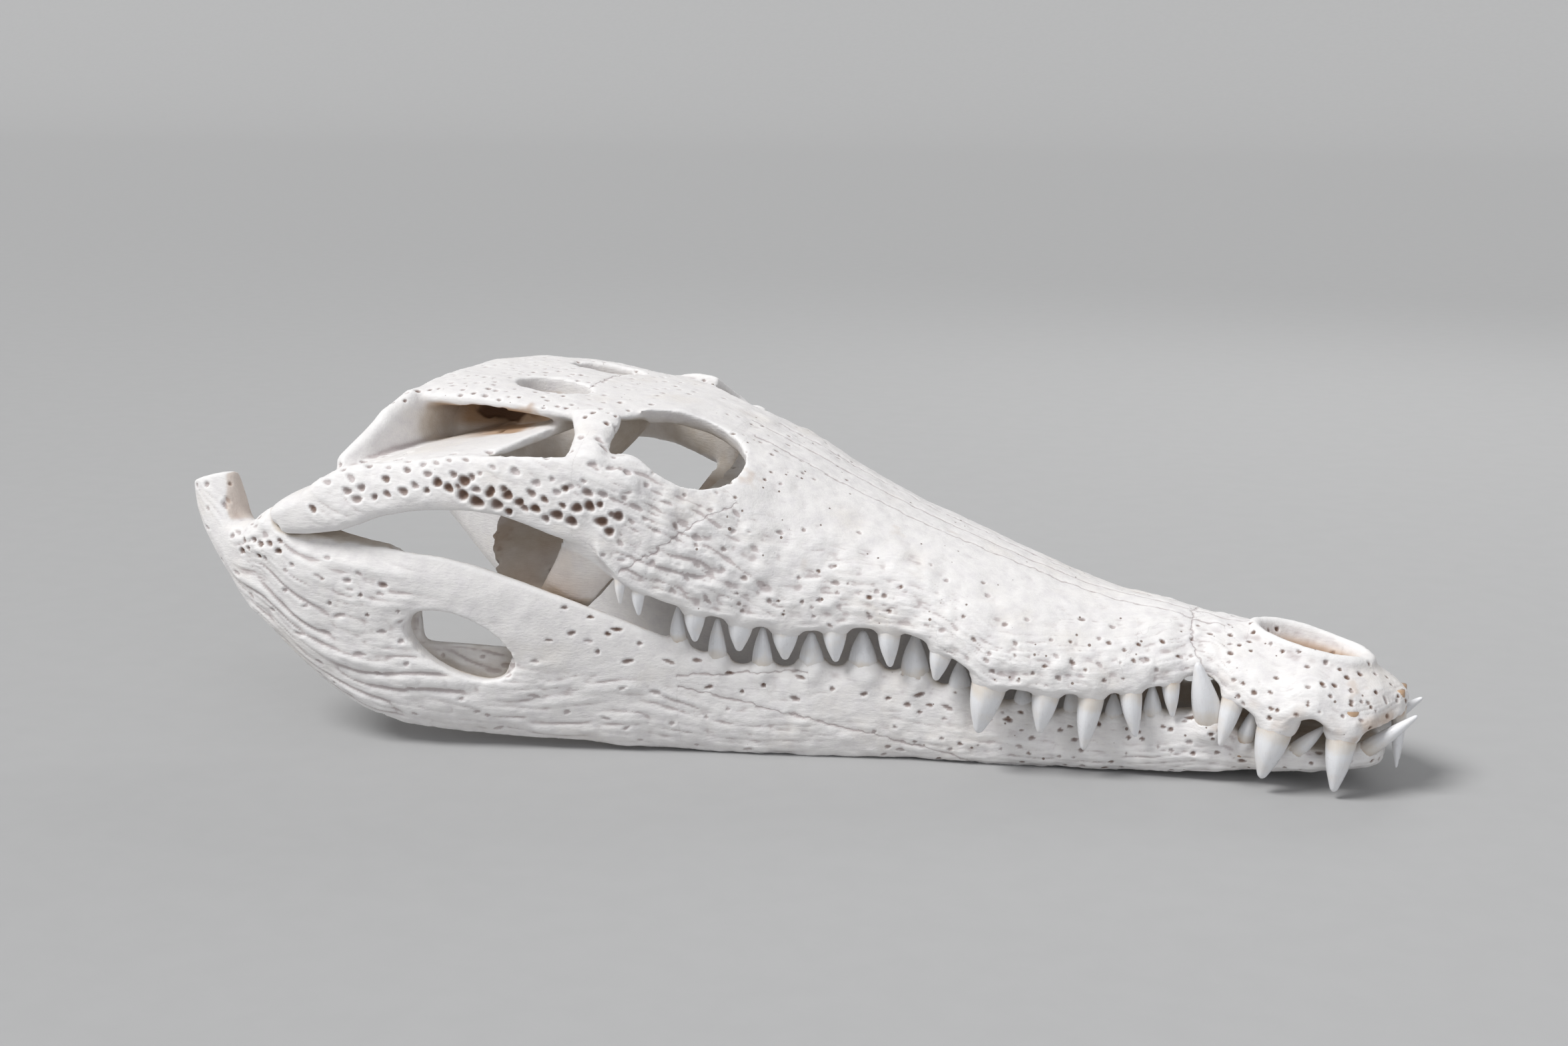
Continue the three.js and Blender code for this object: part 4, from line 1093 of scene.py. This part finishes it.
def pale_floor(colour):
    """A wide, plain floor that bends up in a quarter circle far behind the skull."""
    bend = [
        (BEND_START + BEND_RADIUS * math.sin(turn), BEND_RADIUS - BEND_RADIUS * math.cos(turn))
        for turn in np.linspace(0, math.pi / 2, 25)
    ]
    strip = [(-FLOOR_REACH, 0.0), *bend, (bend[-1][0], FLOOR_REACH)]
    mesh = bpy.data.meshes.new("floor")
    mesh.from_pydata(
        [(x, y, z) for y, z in strip for x in (-FLOOR_REACH, FLOOR_REACH)], [],
        [(2 * i, 2 * i + 1, 2 * i + 3, 2 * i + 2) for i in range(len(strip) - 1)],
    )
    mesh.polygons.foreach_set("use_smooth", np.ones(len(mesh.polygons), bool))
    g = Graph("pale_floor")
    speckle = g.noise(60, Detail=4.0)
    tone = g.mix(g.between(speckle, 0.3, 0.7, 0, 0.06), colour, SPECKLE_COLOUR)
    g.shade(Base_Color=tone, Roughness=0.85)
    mesh.materials.append(g.material)
    add_object("floor", mesh)


def room_light(scene, strength):
    """Even, faintly blue light from all round."""
    scene.world = scene.world or bpy.data.worlds.new("soft_room")
    scene.world.use_nodes = True
    background = scene.world.node_tree.nodes["Background"]
    background.inputs["Color"].default_value = ROOM_COLOUR
    background.inputs["Strength"].default_value = strength


def place_camera(scene, settings, aim):
    """The camera, turned to its aim."""
    camera = bpy.data.cameras.new("camera")
    camera.lens = settings.lens
    camera.sensor_width = 36
    camera.clip_start = 0.05
    holder = add_object("camera", camera)
    back = Vector((
        math.sin(settings.azimuth) * math.cos(settings.elevation),
        -math.cos(settings.azimuth) * math.cos(settings.elevation),
        math.sin(settings.elevation),
    ))
    holder.location = aim + back * settings.distance
    holder.rotation_euler = (-back).to_track_quat("-Z", "Y").to_euler()
    scene.camera = holder


class SKULL_OT_stage(bpy.types.Operator):
    """Sets up the pale floor, the soft light and the camera"""

    bl_idname = "skull.stage"
    bl_label = "Stage"

    def execute(self, context):
        settings = context.scene.skull_stage
        aim = Vector(settings.aim)
        pale_floor(settings.floor)
        panel = {"shape": "DISK", "size": PANEL_SIZE, "energy": settings.fill_power}
        place_light("main_light", "SUN", MAIN_PLACE, aim, angle=MAIN_SPREAD, energy=settings.key_strength)
        place_light("fill_light", "AREA", FILL_PLACE, aim, color=COOL_LIGHT, **panel)
        place_light("back_light", "AREA", BACK_PLACE, aim, **panel)
        room_light(context.scene, settings.room_light)
        context.scene.view_settings.view_transform = "Standard"
        place_camera(context.scene, settings, aim)
        return {"FINISHED"}


OPERATORS = (SKULL_OT_cranium, SKULL_OT_lower_jaw, SKULL_OT_teeth, SKULL_OT_stage)


class SKULL_PT_panel(bpy.types.Panel):
    bl_label = "Crocodile Skull"
    bl_idname = "SKULL_PT_panel"
    bl_space_type = "VIEW_3D"
    bl_region_type = "UI"
    bl_category = "Skull"

    def draw(self, context):
        for operator in OPERATORS:
            self.layout.operator(operator.bl_idname)
        for group in (context.scene.skull_relief, context.scene.skull_colours, context.scene.skull_stage):
            box = self.layout.box()
            for key in group.__annotations__:
                box.prop(group, key)


GROUPS = {"skull_colours": SkullColours, "skull_relief": SkullRelief, "skull_stage": SkullStage}


def register():
    for kind in (*GROUPS.values(), *OPERATORS, SKULL_PT_panel):
        bpy.utils.register_class(kind)
    for name, group in GROUPS.items():
        setattr(bpy.types.Scene, name, PointerProperty(type=group))


def unregister():
    for name in GROUPS:
        delattr(bpy.types.Scene, name)
    for kind in (SKULL_PT_panel, *reversed(OPERATORS), *reversed(GROUPS.values())):
        bpy.utils.unregister_class(kind)


def main():
    register()
    bpy.ops.skull.cranium()
    bpy.ops.skull.lower_jaw()
    bpy.ops.skull.teeth()
    bpy.ops.skull.stage()


if __name__ == "__main__":
    main()
